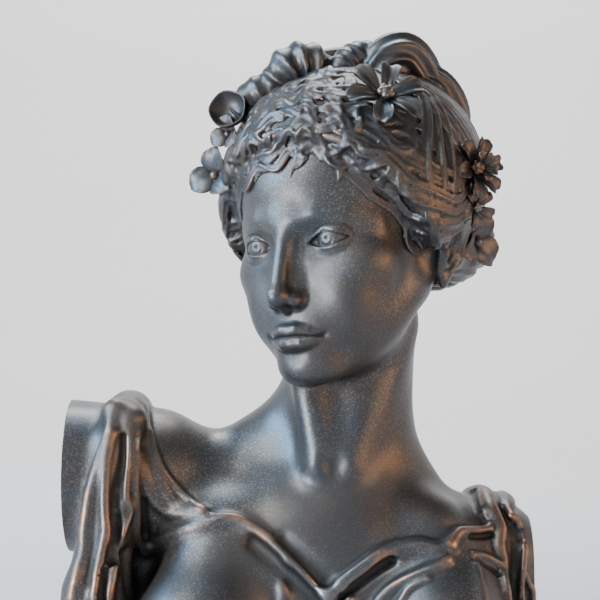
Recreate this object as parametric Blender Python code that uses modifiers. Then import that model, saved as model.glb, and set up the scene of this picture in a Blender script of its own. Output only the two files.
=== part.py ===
"""Bronze bust of a young woman with pinned-up hair and flowers, cast in one piece and cut flat below.

She faces -Y, +Z is up, and the origin is on the underside below the pit of her neck.
Her head turns to her own right, her right arm is raised and her left arm hangs.
"""

import math

import bmesh
import bpy
import numpy as np
from mathutils import Euler, Matrix, Vector

# The height of her head from chin to crown, in metres, which sets the size of the whole bust.
HEAD_HEIGHT = 0.208

# The figure is modelled in grains, which are shares of her head's height.
HEAD_GRAINS = 208.0
GRAIN = HEAD_HEIGHT / HEAD_GRAINS

# Where both arms are cut flat, in grains from the middle.
RAISED_ARM_CUT = 200.0
LOWERED_ARM_CUT = 155.0

# The skin is first worked out ROUGH_VOXEL and then FINE_VOXEL grains fine, and then thinned to about
# this many triangles.
ROUGH_VOXEL = 4.0
FINE_VOXEL = 2.3
TRIANGLES = 10500
BRONZE_COLOUR = (0.055, 0.050, 0.046, 1.0)
BRONZE_METALLIC = 0.9
BRONZE_ROUGHNESS = 0.42

# The head's own frame: its origin lies between the ears at the level of the eyes, and it faces -Y.
HEAD_PLACE = (18.0, 0.0, 352.0)
HEAD_TURN = -36.0
HEAD_LEAN = -6.0


def egg(p, centre, radii, turn=None):
    """Signed distance to an ellipsoid. turn holds its axes as columns."""
    q = p - np.array(centre)
    if turn is not None:
        q = q @ turn
    r = np.array(radii, float)
    near = np.linalg.norm(q / r, axis=1)
    slope = np.linalg.norm(q / r**2, axis=1)
    return near * (near - 1.0) / np.maximum(slope, 1e-6)


def limb(p, a, b, ra, rb):
    """Signed distance to a rod from a to b, whose radius goes from ra to rb."""
    a = np.array(a, float)
    ab = np.array(b, float) - a
    along = np.clip((p - a) @ ab / (ab @ ab), 0.0, 1.0)
    return np.linalg.norm(p - a - along[:, None] * ab, axis=1) - (ra + (rb - ra) * along)


def melted(a, b, k):
    """Both shapes together, with a fillet about k wide."""
    h = np.clip(0.5 + 0.5 * (b - a) / k, 0.0, 1.0)
    return b * (1.0 - h) + a * h - k * h * (1.0 - h)


def carved(a, b, k):
    """Shape a with b taken out of it, and the edge rounded by about k."""
    return -melted(-a, b, k)


class Clay:
    """Signed distances of a shape at a set of points, worked up lump by lump."""

    def __init__(self, points):
        self.p = points
        self.d = np.full(len(points), 1000.0)

    def work(self, how, shape, middle, reach, k):
        """Melts in or carves out a shape at the points within reach of its middle."""
        near = np.sum((self.p - np.array(middle)) ** 2, axis=1) < (reach + 2.0 * k + 12.0) ** 2
        if near.any():
            self.d[near] = how(self.d[near], shape(self.p[near]), k)

    def egg(self, centre, radii, k, turn=None, how=melted):
        self.work(how, lambda p: egg(p, centre, radii, turn), centre, max(radii), k)

    def limb(self, a, b, ra, rb, k, how=melted):
        middle = (np.array(a, float) + np.array(b, float)) / 2.0
        reach = np.linalg.norm(np.array(a) - middle) + max(ra, rb)
        self.work(how, lambda p: limb(p, a, b, ra, rb), middle, reach, k)

    def trail(self, points, radii, k, how=melted):
        """A rod along a line of points, with a radius at each."""
        points = np.array(points, float)
        middle = (points.min(0) + points.max(0)) / 2.0
        reach = np.linalg.norm(points - middle, axis=1).max() + max(radii)

        def shape(p):
            parts = [
                limb(p, points[i], points[i + 1], radii[i], radii[i + 1])
                for i in range(len(points) - 1)
            ]
            return np.min(parts, axis=0)

        self.work(how, shape, middle, reach, k)


def head_matrix():
    turn = Euler((0.0, 0.0, math.radians(HEAD_TURN))).to_matrix()
    lean = Euler((0.0, math.radians(HEAD_LEAN), 0.0)).to_matrix()
    return np.array(lean @ turn)


HEAD_AXES = head_matrix()


def to_head(p):
    """Points of the figure in the head's own frame."""
    return (p - np.array(HEAD_PLACE)) @ HEAD_AXES


def from_head(p):
    """Points of the head's own frame in the figure."""
    return np.asarray(p, float) @ HEAD_AXES.T + np.array(HEAD_PLACE)


def skull(clay):
    clay.egg((0, 4, 28), (75, 90, 76), 30)
    clay.egg((0, -26, 36), (62, 62, 56), 18)
    clay.egg((0, -32, -28), (61, 57, 75), 20)


def jaw_and_cheeks(clay):
    for side in (1, -1):
        clay.limb((side * 47, -12, -42), (side * 14, -70, -88), 15, 14, 18)
        clay.limb((side * 58, 11, -14), (side * 47, 4, -38), 13, 12, 14)
        clay.egg((side * 42, -55, -20), (22, 20, 18), 18)
        clay.egg((side * 31, -62, -48), (20, 21, 25), 16)
        brow = [(side * 8, -84, 14), (side * 24, -81, 18), (side * 42, -70, 17), (side * 56, -54, 9)]
        clay.trail(brow, (5, 5, 4, 3), 12)
    clay.egg((0, -77, -90), (17, 15.5, 14), 11)
    clay.egg((0, -75, -60), (26, 19, 24), 14)
    clay.egg((0, -84, 16), (12, 8, 12), 10)


EYE = (31.5, -69.5, -1.0)
EYE_RADIUS = 13.5
LID = 1.7
EYE_HALF_WIDTH = 15.0
UPPER_LIFT = 6.2
LOWER_DROP = 4.6
LID_TILT = 3.0


def lid_circle(lift):
    """Radius of the circle whose arc over the eye's width rises by lift."""
    return (EYE_HALF_WIDTH**2 + lift**2) / (2.0 * lift)


def eye_opening(p):
    """Signed distance, seen from the front, to the almond between the lids of her left eye."""
    tilt = math.radians(LID_TILT)
    x = p[:, 0] - EYE[0]
    z = p[:, 2] - EYE[2]
    u = x * math.cos(tilt) + z * math.sin(tilt)
    v = z * math.cos(tilt) - x * math.sin(tilt)
    over, under = lid_circle(UPPER_LIFT), lid_circle(LOWER_DROP)
    upper = np.hypot(u, v + over - UPPER_LIFT) - over
    lower = np.hypot(u, v - under + LOWER_DROP) - under
    return np.maximum(upper, lower)


def eyes(clay):
    """Sockets, then lids as a shell over each eyeball with an almond opening."""
    for side in (1, -1):
        centre = (side * EYE[0], EYE[1], EYE[2])
        clay.egg((side * 31, -96, 0), (21, 14.4, 12), 9, how=carved)

        def lids(p, side=side, centre=centre):
            q = p * np.array((side, 1, 1))
            opening = np.maximum(eye_opening(q), p[:, 1] + 62.0)
            ball = egg(p, centre, (EYE_RADIUS + LID,) * 3)
            return np.maximum(ball, -opening)

        def opening(p, side=side):
            return np.maximum(eye_opening(p * np.array((side, 1, 1))), p[:, 1] + 70.0)

        clay.work(melted, lids, centre, EYE_RADIUS + 4, 2.5)
        clay.work(carved, opening, centre, EYE_RADIUS + 18, 0.8)
        clay.egg(centre, (EYE_RADIUS,) * 3, 0.4)
        clay.egg((side * 28.5, EYE[1] + 6.5, EYE[2]), (17, 17.3, 9.5), 0.4)
        clay.egg((side * 18.5, -75.5, -2.0), (4.5, 4.5, 3.5), 2.0)


def nose(clay):
    clay.limb((0, -80, 2), (0, -89, -36), 7, 10.5, 8)
    clay.limb((0, -87, 10), (0, -105, -36), 5.6, 6.0, 6)
    clay.egg((0, -104.5, -38.0), (6.6, 7.2, 6.6), 7)
    for side in (1, -1):
        clay.egg((side * 9.4, -95, -41.5), (4.4, 7.4, 5.0), 5)
    clay.limb((0, -106, -42.5), (0, -96, -47.0), 3.2, 3.4, 2.5)
    for side in (1, -1):
        clay.egg((side * 6.4, -100, -47.8), (2.9, 5.2, 3.2), 1.5, how=carved)


def mouth(clay):
    upper = [(0, -94.6, -63.0), (5.5, -94.8, -62.2), (13, -91.2, -64.2), (21, -84.8, -67.2)]
    lower = [(0, -92.4, -72.2), (7, -91.8, -72.0), (14, -88.6, -70.4), (20, -84.8, -68.4)]
    parting = [(0, -98.0, -67.4), (6, -97.2, -67.0), (13, -93.4, -67.5), (23, -85.4, -68.0)]
    for side in (1, -1):
        turn = np.array((side, 1, 1))
        clay.trail(np.array(upper) * turn, (4.2, 4.4, 3.6, 1.6), 3)
        clay.trail(np.array(lower) * turn, (5.6, 5.2, 4.0, 1.8), 3)
    for side in (1, -1):
        turn = np.array((side, 1, 1))
        clay.trail(np.array(parting) * turn, (0.9, 0.9, 0.8, 0.8), 1.4, how=carved)
        clay.egg((side * 25.5, -88, -68), (3, 3, 3), 4, how=carved)
    clay.limb((0, -102.5, -51), (0, -102.5, -58), 1.8, 2.2, 3, how=carved)
    clay.egg((0, -99.5, -82), (15, 6, 4), 6, how=carved)


# The ear's middle, and the lines of its rim and inner fold as (outwards, backwards, upwards).
EAR = (71.0, 12.0, -14.0)
EAR_FLARE = 20.0
EAR_TILT = 15.0
EAR_RIM = [(2, -4, 0), (4, -12, 9), (6, -9, 22), (8, 2, 28), (11, 13, 23), (12, 16, 10), (11, 14, -3),
           (8, 9, -14), (5, 3, -21)]
EAR_FOLD = [(7, 9, 17), (8, 9, 5), (7, 6, -7), (5, 0, -12), (4, -6, -11)]


def ears(clay):
    for side in (1, -1):
        turns = (0.0, math.radians(side * EAR_TILT), math.radians(side * EAR_FLARE))
        turn = np.array(Euler(turns).to_matrix())

        def place(point, side=side, turn=turn):
            return np.array(point) * (side, 1, 1) @ turn.T + np.array((side * EAR[0], EAR[1], EAR[2]))

        clay.egg(tuple(place((1, 2, 1))), (5.5, 15, 26), 4, turn=turn)
        clay.trail([place(point) for point in EAR_RIM], [2.8] * 6 + [2.6, 2.8, 3.2], 1.6)
        clay.trail([place(point) for point in EAR_FOLD], (1.6, 2.2, 2.2, 2.4, 2.2), 1.8)
        clay.egg(tuple(place((4, 2, -23))), (4.0, 6.5, 7.5), 3, turn=turn)
        clay.egg(tuple(place((4.5, -9.5, -4))), (3.0, 3.4, 5.0), 2, turn=turn)
        clay.egg(tuple(place((8, -1, -3))), (7.0, 6.5, 8.0), 2, turn=turn, how=carved)


def body(clay):
    """Neck, chest, shoulders, arms and breasts without the gown."""
    clay.egg((-4, 26, 40), (122, 84, 150), 30)
    clay.egg((-6, 8, 116), (100, 64, 66), 30)
    clay.limb((13, 18, 170), (17, 22, 300), 49, 50, 24)
    clay.limb((14, 36, 216), (78, 38, 112), 32, 34, 26)
    clay.limb((-6, 40, 214), (-92, 34, 154), 32, 38, 28)
    clay.limb((118, 26, 101), (148, 22, -80), 52, 44, 22)
    clay.limb((-140, 26, 168), (-300, 6, 173), 54, 66, 26)
    clay.limb((-150, 34, 120), (-118, 34, -20), 34, 40, 26)
    for x in (-94, 84):
        clay.egg((x, -42, 52), (52, 52, 52), 26)
        clay.limb((x, -40, 68), (x * 0.92, -20, 132), 34, 22, 28)
    clay.egg((-4, -20, 0), (112, 64, 44), 30)
    clay.limb((50, 0, 288), (12, -30, 186), 12, 9, 22)
    clay.limb((-26, -14, 286), (-8, -32, 186), 11, 9, 20)
    clay.egg((2, -47, 184), (8, 8, 9), 9, how=carved)


def head(clay):
    skull(clay)
    jaw_and_cheeks(clay)
    eyes(clay)
    nose(clay)
    mouth(clay)
    ears(clay)


HEAD_REACH = 190.0


def bare_figure(points):
    """Signed distance to the figure without hair, flowers and gown."""
    clay = Clay(points)
    body(clay)
    local = to_head(points)
    near = (local**2).sum(1) < HEAD_REACH**2
    under_hair = Clay(local[near])
    head(under_hair)
    clay.d[near] = melted(clay.d[near], under_hair.d, 12.0)
    return clay.d


def bunched_cloth(clay):
    """The cloth that hangs in front of her raised arm."""
    clay.limb((-158, -24, 208), (-176, -32, 84), 14, 23, 12)
    clay.limb((-176, -32, 84), (-176, -20, -30), 23, 30, 12)


def blank_gown(points):
    """Signed distance to the bare figure with the bunched cloth."""
    clay = Clay(points)
    clay.d = bare_figure(points)
    bunched_cloth(clay)
    return clay.d


# A viewer stands in front of her. Folds are given as (x, z) places on the upright plane
# through her neck, where the viewer sees them.
VIEWER = (-23.0, -1200.0, 306.0)


def seen(places, field, lift):
    """Places on the upright plane, put on the surface that the viewer sees there."""
    eye = np.array(VIEWER)
    way = np.array([(x, 0.0, z) for x, z in places]) - eye
    start = eye + way * 0.84
    way /= np.linalg.norm(way, axis=1, keepdims=True)
    gone = np.zeros((len(way), 1))
    for _ in range(40):
        gone[:, 0] += 0.85 * np.clip(field(start + gone * way) - lift, -40.0, 40.0)
    return start + gone * way


def slope_of(points, field, step=1.0):
    """The way in which a field grows at some points."""
    slope = [(field(points + way) - field(points - way)) / (2.0 * step) for way in np.eye(3) * step]
    slope = np.stack(slope, axis=1)
    return slope / np.maximum(np.linalg.norm(slope, axis=1, keepdims=True), 1e-3)


def pressed(points, field, lift):
    """Points moved straight onto the surface, or lift above it."""
    p = np.array(points, float)
    for _ in range(10):
        p -= slope_of(p, field) * np.clip(field(p) - lift, -15.0, 15.0)[:, None] * 0.8
    return p


def at_shares(points, shares):
    """Points of a smooth line through the given ones, at shares of its way from 0 to 1."""
    points = np.array(points, float)
    ends = np.vstack((2 * points[0] - points[1], points, 2 * points[-1] - points[-2]))
    t = np.clip(shares, 0.0, 1.0) * (len(points) - 1.0001)
    i = t.astype(int)
    f = (t - i)[:, None]
    p0, p1, p2, p3 = ends[i], ends[i + 1], ends[i + 2], ends[i + 3]
    bend = 2 * p0 - 5 * p1 + 4 * p2 - p3
    return p1 + 0.5 * f * (p2 - p0 + f * (bend + f * (3 * (p1 - p2) + p3 - p0)))


def curved(points, count):
    """Points along a smooth line through the given ones."""
    return at_shares(points, np.linspace(0.0, 1.0, count))


# The neckline: each seen point, from her right shoulder down to the middle and up to her left.
COWL_EDGE = [(-142, 222), (-139, 207), (-135, 190), (-128, 176), (-119, 164), (-108, 153), (-99, 144)]
RIGHT_HEM = [(-140, 115), (-128, 123), (-111, 130), (-94, 135), (-81, 139), (-69, 137), (-57, 130),
             (-44, 121), (-33, 111), (-20, 99), (-9, 88), (-1, 81)]
LEFT_HEM = [(-3, 81), (4, 88), (15, 97), (27, 106), (39, 114), (52, 120), (69, 122), (81, 119),
            (91, 122), (98, 128), (109, 131), (121, 132), (126, 140)]
RIGHT_OUTER = [(-164, 222), (-169, 205), (-176, 185), (-184, 157), (-188, 130), (-189, 112), (-196, 84)]
LEFT_OUTER = [(139, 133), (143, 126), (146, 118), (148, 106), (147, 89), (145, 70)]

# Ridges of the gown seen from the front: the line, how far its core stands above the cloth,
# the core's radius at both ends, and the width of its fillet.
RIDGES = [
    (RIGHT_OUTER + [(-201, 40), (-202, -20)], 3.0, 3.6, 5.0, 6.0),
    ([(-167, 203), (-170, 188), (-172, 174), (-173, 151), (-172, 129), (-176, 107), (-180, 77),
      (-182, 30), (-182, -20)], 4.5, 2.4, 4.0, 6.0),
    ([(-171, 134), (-168, 123), (-164, 113), (-166, 95), (-169, 77), (-170, 30), (-170, -20)],
     3.5, 1.6, 4.0, 5.0),
    ([(-155, 213), (-155, 185), (-156, 157), (-153, 144), (-158, 129), (-164, 113)], 3.5, 2.6, 2.0, 4.0),
    ([(-147, 222), (-148, 202), (-149, 185), (-149, 163), (-148, 140), (-148, 124), (-142, 115)],
     3.4, 3.2, 2.6, 5.0),
    (COWL_EDGE, 2.2, 2.6, 2.2, 3.0),
    ([(-141, 204), (-136, 183), (-129, 164), (-121, 152), (-111, 146), (-100, 146)], 2.0, 2.6, 2.2, 7.0),
    ([(-146, 186), (-140, 166), (-133, 151), (-122, 143), (-108, 142), (-97, 143)], 2.6, 2.6, 2.2, 7.0),
    (RIGHT_HEM, 2.6, 2.6, 4.2, 8.0),
    ([(-1, 81), (11, 89), (27, 100), (38, 109), (54, 115), (69, 118), (82, 116), (92, 118)],
     2.6, 3.6, 3.0, 8.0),
    (LEFT_HEM[:9], 1.6, 2.4, 2.4, 2.0),
    ([(92, 119), (98, 127), (104, 129), (113, 129), (122, 131), (126, 138)], 2.8, 4.4, 2.2, 5.0),
    ([(126, 140), (129, 130), (128, 119), (130, 112)], 3.0, 2.2, 2.0, 3.0),
    ([(123, 147), (128, 140), (132, 132), (131, 118), (133, 107), (133, 96), (136, 75), (138, 30),
      (138, -20)], 3.4, 2.6, 4.0, 5.0),
    ([(137, 140), (143, 138), (148, 128), (149, 116), (148, 104), (146, 88), (146, 74), (144, 30),
      (142, -20)], 4.2, 2.0, 3.6, 4.0),
    ([(150, 96), (153, 88), (156, 80), (158, 40)], 2.6, 1.6, 3.0, 4.0),
    ([(22, 40), (34, 70), (44, 83), (54, 90), (64, 95), (78, 101), (90, 107)], 3.6, 2.4, 2.0, 7.0),
    ([(46, 60), (58, 82), (65, 88), (74, 92)], 3.2, 1.8, 1.6, 4.0),
    ([(110, 111), (119, 110), (125, 107), (130, 104)], 3.4, 2.0, 2.4, 3.0),
    ([(-6, 78), (-10, 50), (-16, 20), (-20, -20)], 2.0, 3.0, 5.0, 8.0),
    ([(0, 78), (6, 48), (10, 18), (10, -20)], 2.0, 3.0, 5.0, 8.0),
    ([(10, 86), (26, 46), (36, 14), (40, -20)], 2.0, 2.4, 5.0, 8.0),
    ([(-34, 104), (-36, 64), (-44, 24), (-50, -20)], 1.5, 2.0, 5.0, 8.0),
    ([(112, 100), (118, 70), (118, 30), (114, -20)], 2.0, 2.0, 5.0, 8.0),
    ([(-98, 40), (-96, 10), (-94, -20)], 0.5, 2.0, 5.0, 9.0),
    ([(78, 40), (80, 10), (82, -20)], 0.5, 2.0, 5.0, 9.0),
]

# Hollows between the folds, in the same measures.
HOLLOWS = [
    ([(-158, 202), (-159, 184), (-163, 162), (-164, 142), (-165, 122), (-167, 108)], 1.8, 1.4, 5.0, 4.0),
    ([(-164, 140), (-165, 130), (-165, 121)], 1.0, 3.4, 1.4, 3.0),
    ([(-143, 152), (-142, 138), (-141, 126)], 2.0, 1.6, 2.8, 4.0),
    ([(-157, 112), (-155, 88), (-153, 60), (-152, 20), (-150, -20)], 0.0, 4.0, 9.0, 8.0),
    ([(-175, 100), (-176, 76), (-176, 30), (-176, -20)], 3.2, 1.6, 4.0, 5.0),
    ([(-60, 120), (-48, 110), (-36, 98), (-24, 86), (-12, 74)], 2.6, 2.6, 4.2, 8.0),
    ([(-36, 123), (-26, 114), (-14, 102), (-5, 92)], 3.0, 3.4, 5.0, 7.0),
    ([(8, 80), (20, 88), (34, 99), (46, 107)], 1.2, 3.2, 3.0, 6.0),
    ([(106, 125), (114, 125), (122, 126)], 2.0, 1.8, 2.0, 3.0),
    ([(116, 103), (121, 100), (126, 96)], 1.2, 2.2, 3.2, 3.0),
    ([(129, 146), (135, 138), (140, 130), (142, 118), (142, 100), (141, 80), (141, 30), (140, -20)],
     2.2, 2.2, 3.4, 5.0),
]

# The straps where they pass over her shoulders and down her back.
STRAPS = [
    ([(-159, -26, 214), (-159, -6, 231), (-158, 20, 233), (-157, 50, 218), (-155, 76, 176),
      (-147, 92, 120), (-141, 100, -20)], 10, 8),
    ([(-151, -28, 214), (-151, -4, 230), (-151, 22, 231), (-149, 52, 214), (-138, 80, 170),
      (-125, 98, 116), (-114, 106, -20)], 10, 7),
    ([(125, -12, 155), (123, 8, 163), (120, 36, 164), (114, 68, 153), (106, 92, 110),
      (98, 104, 50), (92, 104, -20)], 6, 7),
    ([(139, -10, 145), (138, 10, 149), (136, 38, 149), (133, 62, 138), (128, 78, 96),
      (122, 86, 40), (116, 88, -20)], 4, 7),
]
BACK_HEM = [(-122, 98, 112), (-80, 106, 84), (-30, 114, 70), (16, 112, 70), (62, 108, 80), (100, 94, 104)]
BACK_OUTLINE = [(-205, -300), (-205, 80), (-150, 112), (-154, 176), (-158, 222), (-160, 320), (-148, 320),
                (-145, 216), (-137, 170), (-122, 112), (-80, 84), (-30, 70), (16, 70), (62, 80), (100, 104),
                (109, 130), (115, 320), (138, 320), (133, 138), (128, 96), (122, 40), (112, -300)]


def on_cloth(folds):
    """Folds given where the viewer sees them, as lines on the cloth with radii and fillets."""
    places = np.vstack([line for line, _, _, _, _ in folds])
    lifts = np.concatenate([np.full(len(line), lift) for line, lift, _, _, _ in folds])
    points = seen(places, blank_gown, lifts)
    lines = []
    start = 0
    for line, _, first, last, fillet in folds:
        smooth = curved(points[start:start + len(line)], 3 * len(line))
        lines.append((smooth, np.linspace(first, last, len(smooth)), fillet))
        start += len(line)
    return lines


def back_lines():
    """The straps and the hem behind, as lines on the cloth."""
    lines = []
    for line, first, last in STRAPS + [(BACK_HEM, 5, 5)]:
        points = curved(pressed(curved(line, 3 * len(line)), blank_gown, 1.5), 4 * len(line))
        lines.append((points, np.linspace(first, last, len(points)), 8.0))
    across, _, heights = zip(*BACK_HEM)
    for i in range(9):
        x = -118 + 26 * i
        top = np.interp(x, across, heights) - 6.0
        line = [(x, 100, top), (x * 0.9, 104, 0.5 * top), (x * 0.84, 104, -20)]
        points = pressed(curved(line, 9), blank_gown, 1.0)
        lines.append((points, np.linspace(1.5, 5.0, len(points)), 8.0))
    return lines


def front_outline():
    """The cloth's outline on the seen plane, closed far above and below."""
    over_arm = [(-164, 320), (-142, 320)]
    over_shoulder = [(117, 150), (115, 320), (142, 320)]
    line = [(-205, -300)] + RIGHT_OUTER[::-1] + over_arm + COWL_EDGE + RIGHT_HEM[4:]
    return np.array(line + LEFT_HEM[1:-1] + over_shoulder + LEFT_OUTER + [(145, -300)], float)


def outside(points, outline):
    """Signed distance on a plane to a closed outline."""
    ends = np.roll(outline, -1, axis=0)
    nearest = np.full(len(points), 1e9)
    within = np.zeros(len(points), bool)
    for a, b in zip(outline, ends):
        ab = b - a
        ap = points - a
        along = np.clip(ap @ ab / (ab @ ab), 0.0, 1.0)
        nearest = np.minimum(nearest, ((ap - along[:, None] * ab) ** 2).sum(1))
        crosses = (a[1] > points[:, 1]) != (b[1] > points[:, 1])
        rise = np.where(crosses, points[:, 1] - a[1], 0.0)
        within ^= crosses & (ap[:, 0] < ab[0] * rise / (ab[1] if ab[1] else 1.0))
    return np.sqrt(nearest) * np.where(within, -1.0, 1.0)


# The cloth's thickness, and how far back its front outline holds.
CLOTH = 2.6
SIDE_SEAM = 22.0


# Hair, in the head's frame. Its places are (azimuth, elevation) in degrees about its middle,
# with azimuth 0 over her face and growing towards her left.
HAIR_MIDDLE = np.array((0.0, 6.0, 38.0))
HAIRLINE = {0: 13, 20: 11, 32: 5, 50: -9, 62: -25, 74: -41, 84: -36, 94: -26, 106: -36, 120: -48, 180: -54}


def hair_volumes(clay):
    clay.egg(HAIR_MIDDLE, (96, 103, 95), 1)
    clay.egg((2, 46, 48), (70, 68, 75), 22)
    clay.egg((8, 90, -6), (56, 40, 36), 14)
    for side in (1, -1):
        clay.egg((side * 51, -12, 24), (47, 50, 48), 12)


def hairline_height(p, azimuth):
    """How high points stand off the bare head, up to 12, fading out behind the ears."""
    bare = np.minimum(egg(p, (0, 4, 28), (75, 90, 76)), egg(p, (0, -32, -28), (61, 57, 75)))
    return np.clip(bare, 0.0, 12.0) * np.clip((100.0 - azimuth) / 30.0, 0.0, 1.0)


def hair_mass(p):
    """Signed distance to the hair's main volumes, in the head's frame."""
    clay = Clay(p)
    hair_volumes(clay)
    q = p - HAIR_MIDDLE
    azimuth = np.degrees(np.arctan2(np.abs(q[:, 0]), -q[:, 1]))
    elevation = np.degrees(np.arctan2(q[:, 2], np.hypot(q[:, 0], q[:, 1])))
    above = elevation - np.interp(azimuth, list(HAIRLINE), list(HAIRLINE.values()))
    return carved(clay.d, 1.2 * above - hairline_height(p, azimuth), 5.0)


def scalp(p):
    """Signed distance to the bare head with the hair's main volumes."""
    clay = Clay(p)
    head(clay)
    return np.minimum(clay.d, hair_mass(p))


def hair_points(azimuths, elevations, lift):
    """Points on the hair, or on the skin beside it, at the given angles in the head's frame."""
    a, e = np.radians(azimuths), np.radians(elevations)
    way = np.stack((np.sin(a) * np.cos(e), -np.cos(a) * np.cos(e), np.sin(e)), axis=1)
    out = np.full((len(way), 1), 140.0)
    for _ in range(50):
        out[:, 0] -= np.clip(0.8 * (scalp(HAIR_MIDDLE + out * way) - lift), -6.0, 6.0)
    return HAIR_MIDDLE + out * way


# The tips on the brow, each as its start and end, and the path of the strand over the ear.
BROW_TIPS = [
    ((21, 22), (4, 9)), ((15, 19), (25, 7)), ((4, 23), (-6, 10)), ((-12, 24), (-20, 9)),
    ((-26, 22), (-34, 5)), ((-40, 14), (-47, -5)), ((-50, 4), (-56, -17)), ((31, 13), (39, -2)),
    ((44, 2), (52, -14)),
]
TEMPLE_SWEEP = [(27, 6), (39, -3), (51, -14), (62, -23), (76, -26), (92, -22), (110, -22), (130, -26)]
LOCK_SINK = 1.5


def hairline(azimuth):
    return float(np.interp(abs(azimuth), list(HAIRLINE), list(HAIRLINE.values())))


def lock(path, radius, sway=0.0, waves=1.0, shift=0.0, count=9):
    """A wavy lock along a path of (azimuth, elevation) places: its angles and its radii."""
    t = np.linspace(0.0, 1.0, count)
    line = at_shares(path, t)
    flat = np.maximum(np.cos(np.radians(line[:, 1])), 0.3)
    ahead = np.gradient(line, axis=0)
    ahead[:, 0] *= flat
    ahead /= np.maximum(np.linalg.norm(ahead, axis=1, keepdims=True), 1e-3)
    side = sway * np.sin(2.0 * math.pi * (waves * t + shift))
    radii = radius * (0.5 + 0.5 * np.sin(math.pi * (0.2 + 0.75 * t)))
    return line[:, 0] - ahead[:, 1] * side / flat, line[:, 1] + ahead[:, 0] * side, radii


def front_locks():
    """Waves from the parting to both temples, the tips on the brow, and the strands over the ears."""
    locks = []
    for side, parting, temple in ((-1, 13.0, -66.0), (1, 9.0, 68.0)):
        for row in range(8):
            shares = np.linspace(0.0, 1.0, 4)
            high, low = 19.0 + 8.2 * row, -17.0 + 8.6 * row
            azimuths = parting + (temple - parting) * shares
            path = np.stack((azimuths, high + (low - high) * shares**1.6), axis=1)
            locks.append(lock(path, 6.8, side * 2.0, abs(temple - parting) / 20.0, 0.3 * row, 26))
        for i in range(3):
            path = [(side * (az + 2.4 * i), el + 10.0 * i) for az, el in TEMPLE_SWEEP]
            locks.append(lock(path, 6.4, side * 0.9, 4.0, 0.3 * i, 20))
        for i in range(2):
            path = [(side * (84 + 11 * i), 48), (side * (77 + 11 * i), 27), (side * (67 + 11 * i), 0),
                    (side * (66 + 9 * i), -20)]
            locks.append(lock(path, 7.5, 0.0, 1.0, 0.0, 12))
        locks.append(lock([(side * 60, -14), (side * 66, -28), (side * 70, -40)], 6.0, side * 1.4))
    for start, end in BROW_TIPS:
        locks.append(lock([start, end], 5.2))
    return locks


def back_locks():
    """Combed strands down the sides and the back into the knot, and up from the nape."""
    locks = []
    for side in (1, -1):
        for i in range(5):
            path = [(side * (76 + 11 * i), 64 - 2 * i), (side * (88 + 11 * i), 30),
                    (side * (106 + 10 * i), -6), (side * (130 + 7 * i), -26)]
            locks.append(lock(path, 8.0, 0.8, 0.8, 0.0, 14))
    for i in range(9):
        azimuth = 114 + 16.5 * i
        locks.append(lock([(azimuth, 70), (180 + (azimuth - 180) * 0.55, -10)], 8.0, 1.2, 1.0, 0.0, 10))
        start = (azimuth, hairline(azimuth if azimuth < 180 else 360 - azimuth) + 2)
        locks.append(lock([start, (180 + (azimuth - 180) * 0.6, -30)], 6.5, 1.0, 0.8))
    return locks


def hair_lines():
    """Every lock as a line on the figure with its radii."""
    locks = front_locks() + back_locks()
    azimuths = np.concatenate([azimuth for azimuth, _, _ in locks])
    elevations = np.concatenate([elevation for _, elevation, _ in locks])
    points = from_head(hair_points(azimuths, elevations, -LOCK_SINK))
    lines = []
    start = 0
    for _, _, radii in locks:
        lines.append((points[start:start + len(radii)], radii, 1.5))
        start += len(radii)
    for points, first, last in ROLLS:
        line = curved(points, 3 * len(points))
        swell = np.sin(np.linspace(0.2, 0.8, len(line)) * math.pi)
        lines.append((line, np.linspace(first, last, len(line)) * swell, 3.0))
    return lines


# The rolls of hair piled on her crown, and those that close the knot at the back.
ROLLS = [
    ([(-70, 8, 446), (-62, 2, 457), (-50, -2, 465), (-36, -2, 469)], 14, 17),
    ([(-44, -6, 466), (-30, -8, 481), (-14, -4, 483), (-2, 8, 470)], 21, 20),
    ([(0, -12, 466), (10, -8, 483), (23, 0, 491), (38, 12, 489), (48, 26, 478)], 13, 16),
    ([(30, -6, 470), (42, -4, 488), (56, 4, 492), (70, 16, 478), (76, 26, 458)], 20, 21),
    ([(62, 8, 476), (80, 18, 470), (92, 30, 448), (92, 48, 422)], 18, 22),
    ([(-30, 22, 476), (-6, 34, 486), (22, 40, 488), (48, 44, 478)], 18, 20),
    ([(-62, 24, 452), (-50, 44, 452), (-30, 58, 454), (-4, 66, 452)], 15, 17),
    ([(20, 64, 464), (44, 66, 456), (64, 62, 442), (76, 56, 424)], 17, 19),
]

# Flowers and leaves on the hair: the place that each grows out towards, how far it stands off the
# hair, its radius, number of petals (3 for leaves and 0 for a bell), how far they cup, and the way
# it faces if not straight out.
FLOWERS = [
    ((34, -60, 441), 6, 30, 6, 0.35, None),
    ((98, -38, 402), 4, 24, 6, 0.60, (0.62, -0.77, 0.12)),
    ((96, -38, 376), 5, 17, 5, 0.30, (0.55, -0.83, -0.05)),
    ((-80, -16, 452), 17, 15, 0, 0.90, (-0.30, -0.90, 0.25)),
    ((-80, -10, 433), 7, 15, 3, 0.40, (-0.60, -0.75, 0.10)),
    ((-97, -4, 402), 8, 21, 3, 0.45, (-0.55, -0.80, 0.10)),
    ((124, 4, 346), 6, 24, 3, 0.30, (0.75, -0.60, -0.05)),
    ((70, 104, 410), 5, 24, 6, 0.40, None),
    ((-30, 92, 420), 5, 24, 5, 0.40, None),
]


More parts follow.
